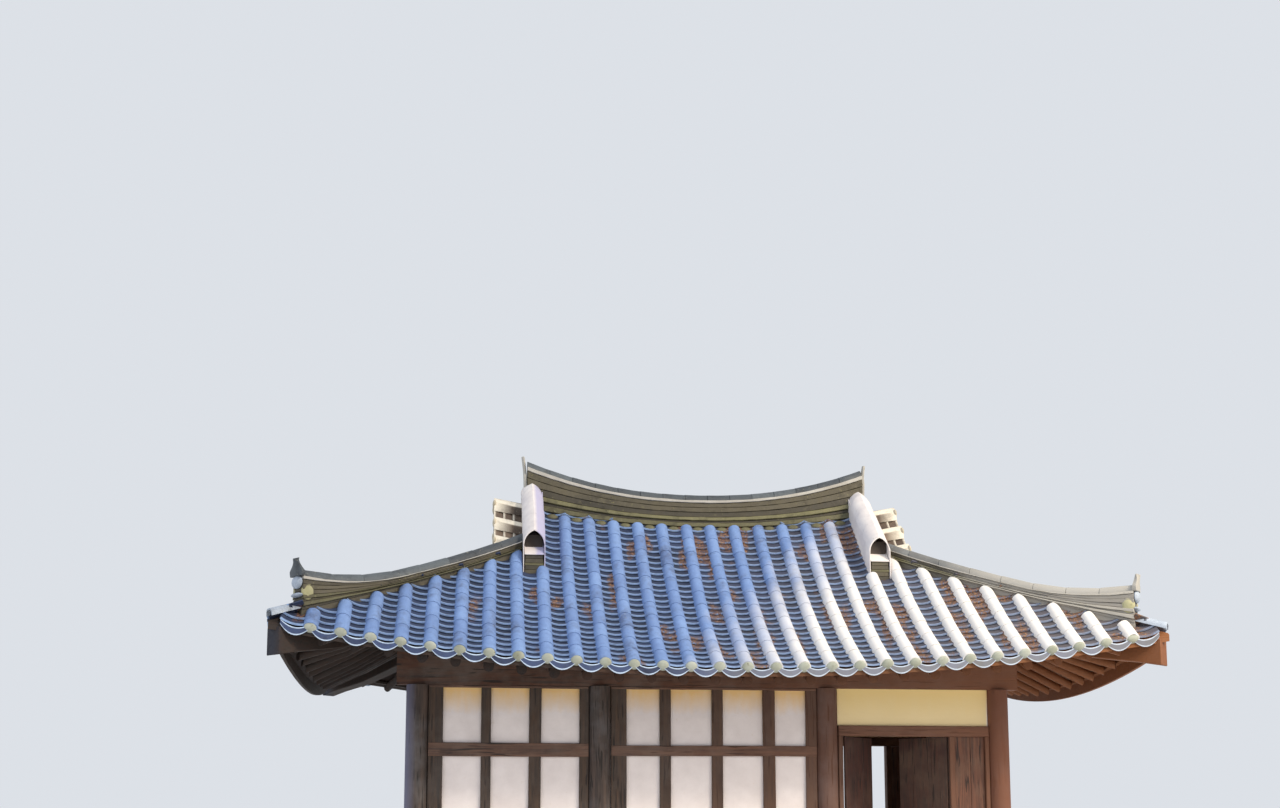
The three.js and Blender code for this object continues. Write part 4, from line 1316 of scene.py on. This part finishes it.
def board_on_eave(points, width, thick, drop):
    """A thin board that follows the eave."""
    bar = block((0.0, -0.5, 0.0), (1.0, 0.5, 0.4), bevel=0, cuts=len(points) - 2)
    last = len(points) - 1
    def place(u, v, w):
        k = min(last - 1, int(u * last + 1e-6))
        here = points[k].lerp(points[k + 1], u * last - k)
        out = (points[k + 1] - points[k]).cross(Vector((0, 0, 1))).normalized()
        z = underside_z(here.x, here.y) - drop - thick * (1 - w / 0.4)
        return Vector((here.x, here.y, z)) + out * (v * width)
    return face_out(lay(bar, place))


class HANOK_OT_rafters(bpy.types.Operator):
    """Set the round rafters, the corner rafters and the eave boards"""
    bl_idname = "hanok.rafters"
    bl_label = "Rafters"

    def execute(self, context):
        rng = random.Random(47)
        # Rafter timber: dark old timber made near black, partly painted shade under the eaves; the tint adds
        # painted warm light towards the right end, and painted blue-black sky shade on the end of the left
        # corner rafter.
        tones = {"Dark": (0.008, 0.005, 0.004), "Light": (0.034, 0.016, 0.010),
                 "Weathered": (0.05, 0.035, 0.03), "Weather amount": 0.3}
        warm = painted_sunlit_side(-1.5, 4.8, (0.21, 0.070, 0.019), 0.85)
        rafter_y = surface("rafter timber, front and back", "Timber finish", tones, ALONG_Y, warm)
        rafter_x = surface("rafter timber, sides", "Timber finish", tones, ALONG_X, warm)
        self.corner_wood = surface("corner rafter timber", "Timber finish", tones, ALONG_X,
                                   lambda tree, base: painted_sky_shade_tip(tree, warm(tree, base)))
        for sign, side in ((-1, "front"), (1, "back")):
            self.straight_side(sign, side, rafter_y, rng)
        for sign, side in ((-1, "left"), (1, "right")):
            self.short_side(sign, side, rafter_x, rng)
        return {"FINISHED"}

    def straight_side(self, sign, side, material, rng):
        """Rafters of the front or back: parallel ones, then a fan towards each corner."""
        logs = []
        x = RAFTER_PITCH / 2
        while x <= RAFTER_LAST:
            for sx in (-1, 1):
                logs.append(log((sx * x, sign * (eave_y(x) - RAFTER_TIP)),
                                (sx * x, sign * (POST_Y - RAFTER_HEEL)), rng))
            x += RAFTER_PITCH
        for k in range(1, RAFTER_FAN + 1):
            x = RAFTER_LAST - 0.01 + RAFTER_PITCH * k
            for sx in (-1, 1):
                logs.append(log((sx * x, sign * (eave_y(x) - RAFTER_TIP)),
                                (sx * (FAN_X + FAN_STEP * k), sign * (POST_Y - FAN_HEEL)), rng))
        end = CORNER_END - 0.22
        points = [Vector((x, sign * (eave_y(x) - BOARD_INSET), 0)) for x in evenly(end, 40)]
        if sign > 0:
            points.reverse()
        node = f"{side}_rafters"
        finish_piece(f"{side}_rafter_logs", logs, material, node)
        boards = [board_on_eave(points, **EAVE_BOARD)]
        finish_piece(f"{side}_eave_board", boards, material, node)

    def short_side(self, sign, side, material, rng):
        """Rafters of the left or right side, with its corner rafters."""
        logs = []
        def tip(y):
            return side_point(sign, y, SIDE_TIP).x, y
        for k in range(6):
            y = (k - 2.5) * RAFTER_PITCH
            logs.append(log(tip(y), (sign * (POST_X - RAFTER_HEEL), y), rng))
        for k in range(1, RAFTER_FAN + 1):
            for sy in (-1, 1):
                logs.append(log(tip(sy * (FAN_Y + SIDE_FAN_PITCH * k)),
                                (sign * (POST_X - FAN_HEEL), sy * (FAN_Y + FAN_STEP * k)), rng))
        half = hip_y(CORNER_END) - 0.14
        points = [Vector((side_point(sign, y, SIDE_BOARD_INSET).x, y, 0)) for y in evenly(half, 24)]
        if sign < 0:
            points.reverse()
        face = [Vector((side_point(sign, p.y, FASCIA_INSET).x, p.y, 0)) for p in points]
        boards = [board_on_eave(points, **EAVE_BOARD), board_on_eave(face, **FASCIA)]
        corners = [self.corner(sign, sy) for sy in (-1, 1)]
        node = f"{side}_rafters"
        finish_piece(f"{side}_rafter_logs", logs, material, node)
        finish_piece(f"{side}_eave_boards", boards, material, node)
        finish_piece(f"{side}_corner_rafters", corners, self.corner_wood, node)

    def corner(self, sx, sy):
        """The deep corner rafter, curving up to the tip of the eave."""
        deep = CORNER_RAFTER_H
        bar = block((0.0, -CORNER_RAFTER_HALF, 0.0), (1.0, CORNER_RAFTER_HALF, deep), bevel=0, cuts=7)
        start = Vector((sx * (POST_X - 0.15), sy * (POST_Y - 0.155), 0))
        end = Vector((sx * (CORNER_END - 0.045), sy * (eave_y(CORNER_END) - 0.045), 0))
        across = (end - start).cross(Vector((0, 0, 1))).normalized()
        def place(u, v, w):
            here = start.lerp(end, u)
            here.z = underside_z(here.x, here.y) - deep + w - 0.012 * (1 - w / deep) * (1 - u)
            return here + across * v
        lay(bar, place)
        soften(face_out(bar), 0.008)
        return bar


POST_SIDES = 36
POST_CRACKS = 4
POST_NODES = [f"{row}_post_{place}" for row in ("front", "back")
              for place in ("far_left", "left", "right", "far_right")]


class HANOK_OT_posts(bpy.types.Operator):
    """Turn the posts, with drying cracks and a slight belly"""
    bl_idname = "hanok.posts"
    bl_label = "Posts"

    def execute(self, context):
        rng = random.Random(5)
        # Post timber with painted warm light towards the right end and painted blue sky light on the outer
        # side of the far left posts.
        wood = surface("post timber", "Timber finish", {
            "Dark": (0.024, 0.017, 0.015), "Light": (0.105, 0.070, 0.055), "Weathered": (0.13, 0.12, 0.12),
            "Weather amount": 0.6}, ALONG_Z,
            lambda tree, base: painted_sky_light_edge(tree, painted_sunlit_side(-0.5, 4.0, (0.20, 0.070, 0.032), 0.8)(tree, base)))
        for node in POST_NODES:
            low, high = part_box(node)
            post = rod(POST_SIDES, 9)
            centre = (Vector(low) + Vector(high)) / 2
            cracks = [(rng.randrange(POST_SIDES), rng.uniform(0.1, 0.5), rng.uniform(0.5, 0.95))
                      for _ in range(POST_CRACKS)]
            def place(u, v, w):
                side = round(math.atan2(v, u) % math.tau / math.tau * POST_SIDES) % POST_SIDES
                split = any(side == at and a < w < b for at, a, b in cracks)
                r = POST_R * (0.985 + 0.012 * math.sin(math.pi * w)) * (0.955 if split else 1.0)
                return Vector((centre.x + u * r, centre.y + v * r, low[2] + (high[2] - low[2]) * w))
            lay(post, place)
            finish_piece(f"{node}_turned", [post], wood, node, angle=24)
        return {"FINISHED"}


# Walls

# The timber grids: the two edges of each plaster panel along the wall, and the heights of the rail
LEFT_BAY = {"panels": ((-3.040, -2.620), (-2.510, -2.090), (-1.955, -1.530)), "rail": (2.020, 2.172)}
CENTRE_BAY = {"panels": ((-1.000, -0.626), (-0.500, -0.034), (0.093, 0.554), (0.694, 1.047)),
              "rail": (2.032, 2.150)}
SIDE_BAY = {"panels": ((-1.040, -0.585), (-0.465, -0.060), (0.060, 0.465), (0.585, 1.040)),
            "rail": (2.032, 2.150)}
LOW_RAIL = (1.190, 1.310)
SILL_TOP = 0.520
HEAD_RAIL = 2.780
BAR_EDGE = 0.006
RAIL_PROUD = 0.004


class HANOK_OT_wall_frames(bpy.types.Operator):
    """Fit the posts, rails and sills that divide the plaster walls"""
    bl_idname = "hanok.wall_frames"
    bl_label = "Wall frames"

    def execute(self, context):
        rng = random.Random(61)
        # Painted warm light on the wall timbers towards the right end.
        warm = painted_sunlit_side(-0.5, 4.5, (0.20, 0.075, 0.035), 0.75)
        self.upright = surface("upright timber", "Timber finish", {
            "Dark": (0.020, 0.013, 0.010), "Light": (0.085, 0.050, 0.032), "Weathered": (0.10, 0.08, 0.07),
            "Weather amount": 0.45}, ALONG_Z, warm)
        rail_tones = {"Dark": (0.034, 0.018, 0.013), "Light": (0.17, 0.088, 0.058),
                      "Weathered": (0.19, 0.13, 0.10), "Weather amount": 0.5}
        self.rail_x = surface("rail timber, front and back", "Timber finish", rail_tones, ALONG_X, warm)
        self.rail_y = surface("rail timber, sides", "Timber finish", rail_tones, ALONG_Y, warm)
        for row in ("front", "back"):
            for bay, plan in (("left", LEFT_BAY), ("centre", CENTRE_BAY)):
                self.frame(f"{row}_wall_frame_{bay}", plan, self.rail_x, rng)
            self.door_frame(f"{row}_door_frame", rng)
        for side in ("left", "right"):
            self.frame(f"{side}_wall_frame", SIDE_BAY, self.rail_y, rng, across=True)
        return {"FINISHED"}

    def frame(self, node, plan, rail_material, rng, across=False):
        """The timber grid of one bay, or of a side wall when it runs across the house."""
        low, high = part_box(node)
        axis, depth = (1, 0) if across else (0, 1)
        d0, d1 = low[depth], high[depth]
        def bar(a0, a1, z0, z1, proud):
            out = proud if abs(d1) > abs(d0) else -proud
            y0, y1 = (d0, d1 + out) if out > 0 else (d0 + out, d1)
            lo, hi = ((a0, y0, z0), (a1, y1, z1)) if not across else ((y0, a0, z0), (y1, a1, z1))
            return self.wear_and_highlight(block(lo, hi, BAR_EDGE, cuts=4), rng)
        edges = [low[axis]] + [e for panel in plan["panels"] for e in panel] + [high[axis]]
        uprights = [bar(edges[k], edges[k + 1], low[2], high[2], 0) for k in range(0, len(edges), 2)]
        heights = ((low[2], SILL_TOP), LOW_RAIL, plan["rail"], (HEAD_RAIL, high[2]))
        rails = [bar(low[axis], high[axis], z0, z1, RAIL_PROUD) for z0, z1 in heights]
        finish_piece(f"{node}_uprights", uprights, self.upright, node)
        finish_piece(f"{node}_rails", rails, rail_material, node)

    def wear_and_highlight(self, bar, rng):
        """Moves the arrises a little, as on hand-hewn timber."""
        phase = rng.uniform(0, 9)
        return lay(bar, lambda x, y, z: Vector((
            x + 0.0018 * math.sin(2.3 * z + phase), y, z + 0.0022 * math.sin(1.9 * (x + y) + phase))))

    def door_frame(self, node, rng):
        """The jambs, sills and head around the doorway and the plank panel."""
        low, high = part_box(node)
        def piece(x0, x1, z0, z1):
            return self.wear_and_highlight(block((x0, low[1], z0), (x1, high[1], z1), BAR_EDGE, cuts=4), rng)
        sill, top = DOOR["sill"], DOOR["top"]
        uprights = [piece(low[0], DOOR["left"], low[2], top),
                    piece(DOOR["right"], PLANK["left"], low[2], top),
                    piece(PLANK["right"], high[0], low[2], top)]
        rails = [piece(low[0], high[0], top, high[2]), piece(DOOR["left"], DOOR["right"], low[2], sill),
                 piece(PLANK["left"], PLANK["right"], low[2], sill)]
        finish_piece(f"{node}_uprights", uprights, self.upright, node)
        finish_piece(f"{node}_rails", rails, self.rail_x, node)


# Doors

DOOR = {"left": 1.480, "right": 2.730, "top": 2.270, "sill": 0.490}
PLANK = {"left": 2.790, "right": 3.150}
PIVOT_INSET = 0.032
LEAF_EDGE = 0.012
LEAF_CLEAR = 0.006
LEAF_HALF = 0.018
PINTLE_R = 0.010
LEAF_REST = math.pi / 4


def planks(x0, x1, y0, y1, z0, z1, count, rng, gap=0.0025):
    """Upright boards side by side, of uneven widths."""
    shares = [rng.uniform(0.8, 1.2) for _ in range(count)]
    boards, at = [], x0
    for share in shares:
        wide = (x1 - x0) * share / sum(shares)
        depth = rng.uniform(0, 0.0015)
        board = block((at + gap / 2, y0 + depth, z0), (at + wide - gap / 2, y1, z1), 0.003)
        boards.append(even_tone(board, rng.random()))
        at += wide
    return boards


class HANOK_OT_doors(bpy.types.Operator):
    """Make the two plank door leaves and the plank panels beside them"""
    bl_idname = "hanok.doors"
    bl_label = "Door leaves and plank panels"

    def execute(self, context):
        rng = random.Random(73)
        # The door leaves are much darker than the plank panel boards: painted shade inside the doorway.
        dark = surface("left leaf boards, painted shade", "Timber finish", {
            "Dark": (0.024, 0.009, 0.007), "Light": (0.080, 0.027, 0.018), "Weathered": (0.12, 0.07, 0.05),
            "Weather amount": 0.35}, ALONG_Z)
        light = surface("right leaf boards, painted shade", "Timber finish", {
            "Dark": (0.026, 0.011, 0.008), "Light": (0.085, 0.034, 0.022), "Weathered": (0.12, 0.075, 0.05),
            "Weather amount": 0.45}, ALONG_Z)
        panel = surface("plank panel boards", "Timber finish", {
            "Dark": (0.055, 0.021, 0.013), "Light": (0.19, 0.078, 0.045), "Weathered": (0.19, 0.12, 0.08),
            "Weather amount": 0.4}, ALONG_Z)
        self.leaf("left", 1, dark, rng)
        self.leaf("right", -1, light, rng)
        for row in ("front", "back"):
            node = f"{row}_plank_panel"
            low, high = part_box(node)
            boards = planks(low[0], high[0], low[1], high[1], low[2], high[2], 2, rng)
            finish_piece(f"{node}_boards", boards, panel, node)
        return {"FINISHED"}

    def leaf(self, side, hand, material, rng):
        """A door leaf: boards, battens and pivot pins, turned open about its pivots."""
        node = f"{side}_door_leaf"
        pivot_x = DOOR["left"] + PIVOT_INSET if hand > 0 else DOOR["right"] - PIVOT_INSET
        width = (DOOR["right"] - DOOR["left"]) / 2 - LEAF_EDGE - LEAF_CLEAR / 2
        start = LEAF_EDGE - PIVOT_INSET
        z0, z1 = DOOR["sill"] + LEAF_CLEAR, DOOR["top"] - LEAF_CLEAR
        face = planks(start, start + width, -LEAF_HALF, 0.008, z0, z1, 3, rng)
        battens = [block((start + 0.03, 0.007, z), (start + width - 0.03, LEAF_HALF, z + 0.09), 0.004)
                   for z in (z0 + 0.16, (z0 + z1) / 2 - 0.045, z1 - 0.25)]
        pins = []
        for a, b in ((DOOR["sill"] + 0.0005, z0 + 0.004), (z1 - 0.004, DOOR["top"] - 0.0005)):
            deselect()
            bpy.ops.mesh.primitive_cylinder_add(
                vertices=16, radius=PINTLE_R, depth=b - a, location=(0, 0, (a + b) / 2))
            bpy.ops.object.transform_apply(location=True, rotation=True, scale=True)
            pins.append(bpy.context.object)
        leaf = join(f"{node}_boards", face + battens + pins)
        turn_cos, turn_sin = math.cos(LEAF_REST), math.sin(LEAF_REST)
        lay(leaf, lambda x, y, z: Vector((pivot_x + hand * (x * turn_cos - y * turn_sin),
                                          x * turn_sin + y * turn_cos - POST_Y, z)))
        face_out(leaf)
        finish_piece(f"{node}_boards", [leaf], material, node, body=f"{side}_leaf")


# Base

STONE_LENGTH = 0.72
FLOOR_BOARDS = 13


class HANOK_OT_base(bpy.types.Operator):
    """Lay the footing stones and the floor boards"""
    bl_idname = "hanok.base"
    bl_label = "Footing and floor"

    def execute(self, context):
        rng = random.Random(89)
        granite = surface("footing granite", "Lime finish", {
            "Base": (0.46, 0.44, 0.41), "Shade": (0.30, 0.29, 0.28), "Stain": (0.10, 0.09, 0.07),
            "Stain amount": 0.8})
        boards = surface("floor boards", "Timber finish", {
            "Dark": (0.07, 0.04, 0.025), "Light": (0.24, 0.15, 0.09), "Weather amount": 0.6}, ALONG_X)
        low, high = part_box("stone_footing")
        depth = 2 * (high[1] - POST_Y)
        reach = high[1] - depth
        stones = []
        for sy in (-1, 1):
            stones += self.course(low[0], high[0], depth, high[2], lambda x, y, z: Vector((
                x, sy * (reach + y), z)), rng)
        for sx in (-1, 1):
            stones += self.course(-reach, reach, depth, high[2], lambda x, y, z: Vector((
                sx * (high[0] - depth + y), x, z)), rng)
        finish_piece("footing_stones", stones, granite, "stone_footing", angle=40)
        floor_low, floor_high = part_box("timber_floor")
        wide = (floor_high[1] - floor_low[1]) / FLOOR_BOARDS
        floor = []
        for k in range(FLOOR_BOARDS):
            y = floor_low[1] + wide * k
            top = floor_high[2] - rng.uniform(0, 0.002)
            floor.append(block((floor_low[0], y + 0.002, floor_low[2]),
                               (floor_high[0], y + wide - 0.002, top)))
        finish_piece("floor_boards", floor, boards, "timber_floor")
        return {"FINISHED"}

    def course(self, start, end, depth, height, place, rng):
        """Dressed stones end to end, each a little different."""
        count = round((end - start) / STONE_LENGTH)
        wide = (end - start) / count
        stones = []
        for k in range(count):
            a, b = start + wide * k, start + wide * (k + 1)
            stone = block((a + 0.004, 0, 0), (b - 0.004, depth, height), 0.018, cuts=3, segments=3)
            phase = rng.uniform(0, 9)
            lay(stone, lambda x, y, z: place(
                x, y - 0.006 * math.sin(7 * x + phase) ** 2 * (y / depth),
                z - 0.005 * math.sin(5 * x + phase) ** 2 * (z / height)))
            stones.append(face_out(stone))
        return stones


class HANOK_OT_carried_nodes(bpy.types.Operator):
    """Give plaster, soffit and beam finishes, with painted light and shade, to the construction pieces that
    stay in view
    """
    bl_idname = "hanok.carried_nodes"
    bl_label = "Plaster, soffit and beams"

    def execute(self, context):
        settings = context.scene.hanok_walls
        plaster = surface("wall plaster", "Lime finish", {
            "Base": settings.plaster, "Shade": settings.plaster_shade, "Stain": (0.62, 0.50, 0.36),
            "Stain amount": 0.35}, tint=panel_top_yellow_and_painted_bounce)
        # Roof underside: near-black timber, partly painted shade under the eaves, with painted warm light
        # towards the right end.
        soffit = surface("roof underside", "Timber finish", {
            "Dark": (0.009, 0.005, 0.004), "Light": (0.034, 0.017, 0.011), "Weathered": (0.05, 0.035, 0.025),
            "Weather amount": 0.3}, ALONG_X, painted_sunlit_side(-1.5, 4.8, (0.24, 0.085, 0.023), 0.85))
        # Long beams: painted warm light towards the right end.
        beam_x = surface("long beam timber", "Timber finish", {
            "Dark": (0.024, 0.011, 0.007), "Light": (0.115, 0.046, 0.025), "Weather amount": 0.3}, ALONG_X,
            painted_sunlit_side(-1.0, 4.5, (0.26, 0.10, 0.045), 0.7))
        beam_y = surface("cross beam timber", "Timber finish", {
            "Dark": (0.035, 0.02, 0.013), "Light": (0.13, 0.07, 0.04), "Weather amount": 0.4}, ALONG_Y)
        walls = [f"{row}_wall_{bay}" for row in ("front", "back") for bay in ("left", "centre", "over_door")]
        for node in walls + ["left_wall", "right_wall", "left_gable_wall", "right_gable_wall"]:
            paint(bpy.data.objects[node], plaster)
        for side in SLOPES:
            paint(bpy.data.objects[f"{side}_roof_slope"], soffit)
        for node in ("front_beam", "back_beam"):
            paint(bpy.data.objects[node], beam_x)
        for node in ("left_beam", "right_beam", "roof_truss"):
            paint(bpy.data.objects[node], beam_y)
        return {"FINISHED"}


# Stage

PANEL_AT = Vector((7.0, -7.0, 7.5))
PANEL_AIM = Vector((2.2, -1.6, 3.4))
PANEL_WATTS = 520
SENSOR_MM = 36


class HANOK_OT_stage(bpy.types.Operator):
    """Set the pale floor, the soft studio lights and the camera"""
    bl_idname = "hanok.stage"
    bl_label = "Stage, lights and camera"

    def execute(self, context):
        settings = context.scene.hanok_stage
        deselect()
        bpy.ops.mesh.primitive_plane_add(size=400, location=(0, 0, -0.001))
        floor = bpy.context.object
        floor.name = "studio_floor"
        bpy.ops.object.transform_apply(location=True, rotation=True, scale=True)
        pale = bpy.data.materials.new("studio floor")
        pale.use_nodes = True
        pale.node_tree.nodes["Principled BSDF"].inputs["Base Color"].default_value = (0.82, 0.81, 0.79, 1)
        pale.node_tree.nodes["Principled BSDF"].inputs["Roughness"].default_value = 0.9
        paint(floor, pale)
        world = bpy.data.worlds.new("studio")
        context.scene.world = world
        world.use_nodes = True
        background = world.node_tree.nodes["Background"]
        background.inputs["Color"].default_value = (0.90, 0.94, 1.0, 1)
        background.inputs["Strength"].default_value = settings.sky
        context.scene.view_settings.view_transform = "Standard"
        self.sun("key", settings.key, (1.0, 0.88, 0.72), (-38, 42), 0.12)
        self.sun("fill", settings.fill, (0.70, 0.82, 1.0), (-30, -60), 0.9)
        self.panel_light()
        self.camera(context)
        return {"FINISHED"}

    def panel_light(self):
        """A large warm panel above the right front corner, so that the light falls off to the left."""
        deselect()
        aim = (PANEL_AIM - PANEL_AT).to_track_quat("-Z", "Y").to_euler()
        bpy.ops.object.light_add(type="AREA", location=PANEL_AT, rotation=aim)
        light = bpy.context.object
        light.name = "panel"
        light.data.energy = PANEL_WATTS
        light.data.color = (1.0, 0.86, 0.66)
        light.data.shape = "SQUARE"
        light.data.size = 4.0
        light.visible_camera = False

    def sun(self, name, strength, color, angles, spread):
        """A distant light from an elevation and an azimuth, with soft shadows."""
        deselect()
        bpy.ops.object.light_add(type="SUN", rotation=(
            math.radians(90 + angles[0]), 0, math.radians(angles[1])))
        light = bpy.context.object
        light.name = name
        light.data.energy = strength
        light.data.color = color
        light.data.angle = spread

    def camera(self, context):
        """The fitted camera; its shift keeps the horizon where the photograph has it."""
        deselect()
        bpy.ops.object.camera_add(location=EYE, rotation=(math.pi / 2 + PITCH, 0, -YAW))
        camera = bpy.context.object
        camera.data.sensor_width = SENSOR_MM
        camera.data.lens = SENSOR_MM * FOCAL_PX / IMAGE_W
        horizon = (HORIZON_PX - IMAGE_H / 2) / IMAGE_W
        camera.data.shift_y = horizon - FOCAL_PX / IMAGE_W * math.tan(PITCH)
        camera.data.clip_end = 500
        context.scene.camera = camera


# Settings, panel and registration


def finish_color(name, description, default):
    return FloatVectorProperty(name=name, description=description, subtype="COLOR", default=default)


def light_strength(name, description, default):
    return FloatProperty(name=name, description=description, default=default, min=0, unit="NONE")


class HanokRoofSettings(bpy.types.PropertyGroup):
    # Cover tile colours: blue-grey clay, partly painted blue sky shade.
    cover_light: finish_color("Cover tile light", "Lightest clay of the cover tiles", (0.26, 0.40, 0.70))
    cover_dark: finish_color("Cover tile dark", "Darkest clay of the cover tiles", (0.12, 0.20, 0.42))
    # Trough tile colours: grey clay darkened to navy, partly painted shade between the cover rows.
    trough_light: finish_color("Trough tile light", "Lightest clay of the trough tiles",
                               (0.034, 0.054, 0.125))
    trough_dark: finish_color("Trough tile dark", "Darkest clay of the trough tiles", (0.008, 0.013, 0.036))
    # Tile lip: a painted highlight on the lower edge of each trough tile.
    lip: finish_color("Tile lip", "Worn pale lower edge of each trough tile", (0.30, 0.44, 0.72))
    # Verge crest: a painted highlight on the crests and ends of the verge tiles.
    verge_crest_highlight: finish_color("Verge crest", "Lime-washed crests of the verge tiles", (0.78, 0.72, 0.60))
    ridge_light: finish_color("Ridge light", "Lightest clay of the ridge courses", (0.115, 0.098, 0.060))
    ridge_dark: finish_color("Ridge dark", "Darkest clay of the ridge courses", (0.022, 0.019, 0.014))


class HanokWallSettings(bpy.types.PropertyGroup):
    plaster: finish_color("Plaster", "Lime plaster of the wall panels", (0.88, 0.80, 0.78))
    plaster_shade: finish_color("Plaster shade", "Darker clouds in the plaster", (0.76, 0.68, 0.66))


class HanokStageSettings(bpy.types.PropertyGroup):
    key: light_strength("Key light", "Strength of the warm main light", 1.5)
    fill: light_strength("Fill light", "Strength of the cool side light", 0.5)
    sky: light_strength("Sky light", "Strength of the surrounding light", 0.80)


OPERATORS = (HANOK_OT_roof_tiles, HANOK_OT_ridges, HANOK_OT_verges, HANOK_OT_rafters, HANOK_OT_posts,
             HANOK_OT_wall_frames, HANOK_OT_doors, HANOK_OT_base, HANOK_OT_carried_nodes, HANOK_OT_stage)


class HANOK_PT_panel(bpy.types.Panel):
    """Lists the settings and the building steps"""
    bl_idname = "HANOK_PT_panel"
    bl_label = "Hanok house"
    bl_space_type = "VIEW_3D"
    bl_region_type = "UI"
    bl_category = "Hanok"

    def draw(self, context):
        for group in (context.scene.hanok_roof, context.scene.hanok_walls, context.scene.hanok_stage):
            box = self.layout.box()
            for name in group.__annotations__:
                box.prop(group, name)
        for operator in OPERATORS:
            self.layout.operator(operator.bl_idname)


SETTINGS = ((HanokRoofSettings, "hanok_roof"), (HanokWallSettings, "hanok_walls"),
            (HanokStageSettings, "hanok_stage"))


def register():
    for settings, name in SETTINGS:
        bpy.utils.register_class(settings)
        setattr(bpy.types.Scene, name, PointerProperty(type=settings))
    for operator in OPERATORS:
        bpy.utils.register_class(operator)
    bpy.utils.register_class(HANOK_PT_panel)


def unregister():
    bpy.utils.unregister_class(HANOK_PT_panel)
    for operator in reversed(OPERATORS):
        bpy.utils.unregister_class(operator)
    for settings, name in reversed(SETTINGS):
        delattr(bpy.types.Scene, name)
        bpy.utils.unregister_class(settings)


def main():
    register()
    bpy.ops.hanok.roof_tiles()
    bpy.ops.hanok.ridges()
    bpy.ops.hanok.verges()
    bpy.ops.hanok.rafters()
    bpy.ops.hanok.posts()
    bpy.ops.hanok.wall_frames()
    bpy.ops.hanok.doors()
    bpy.ops.hanok.base()
    bpy.ops.hanok.carried_nodes()
    bpy.ops.hanok.stage()


if __name__ == "__main__":
    main()
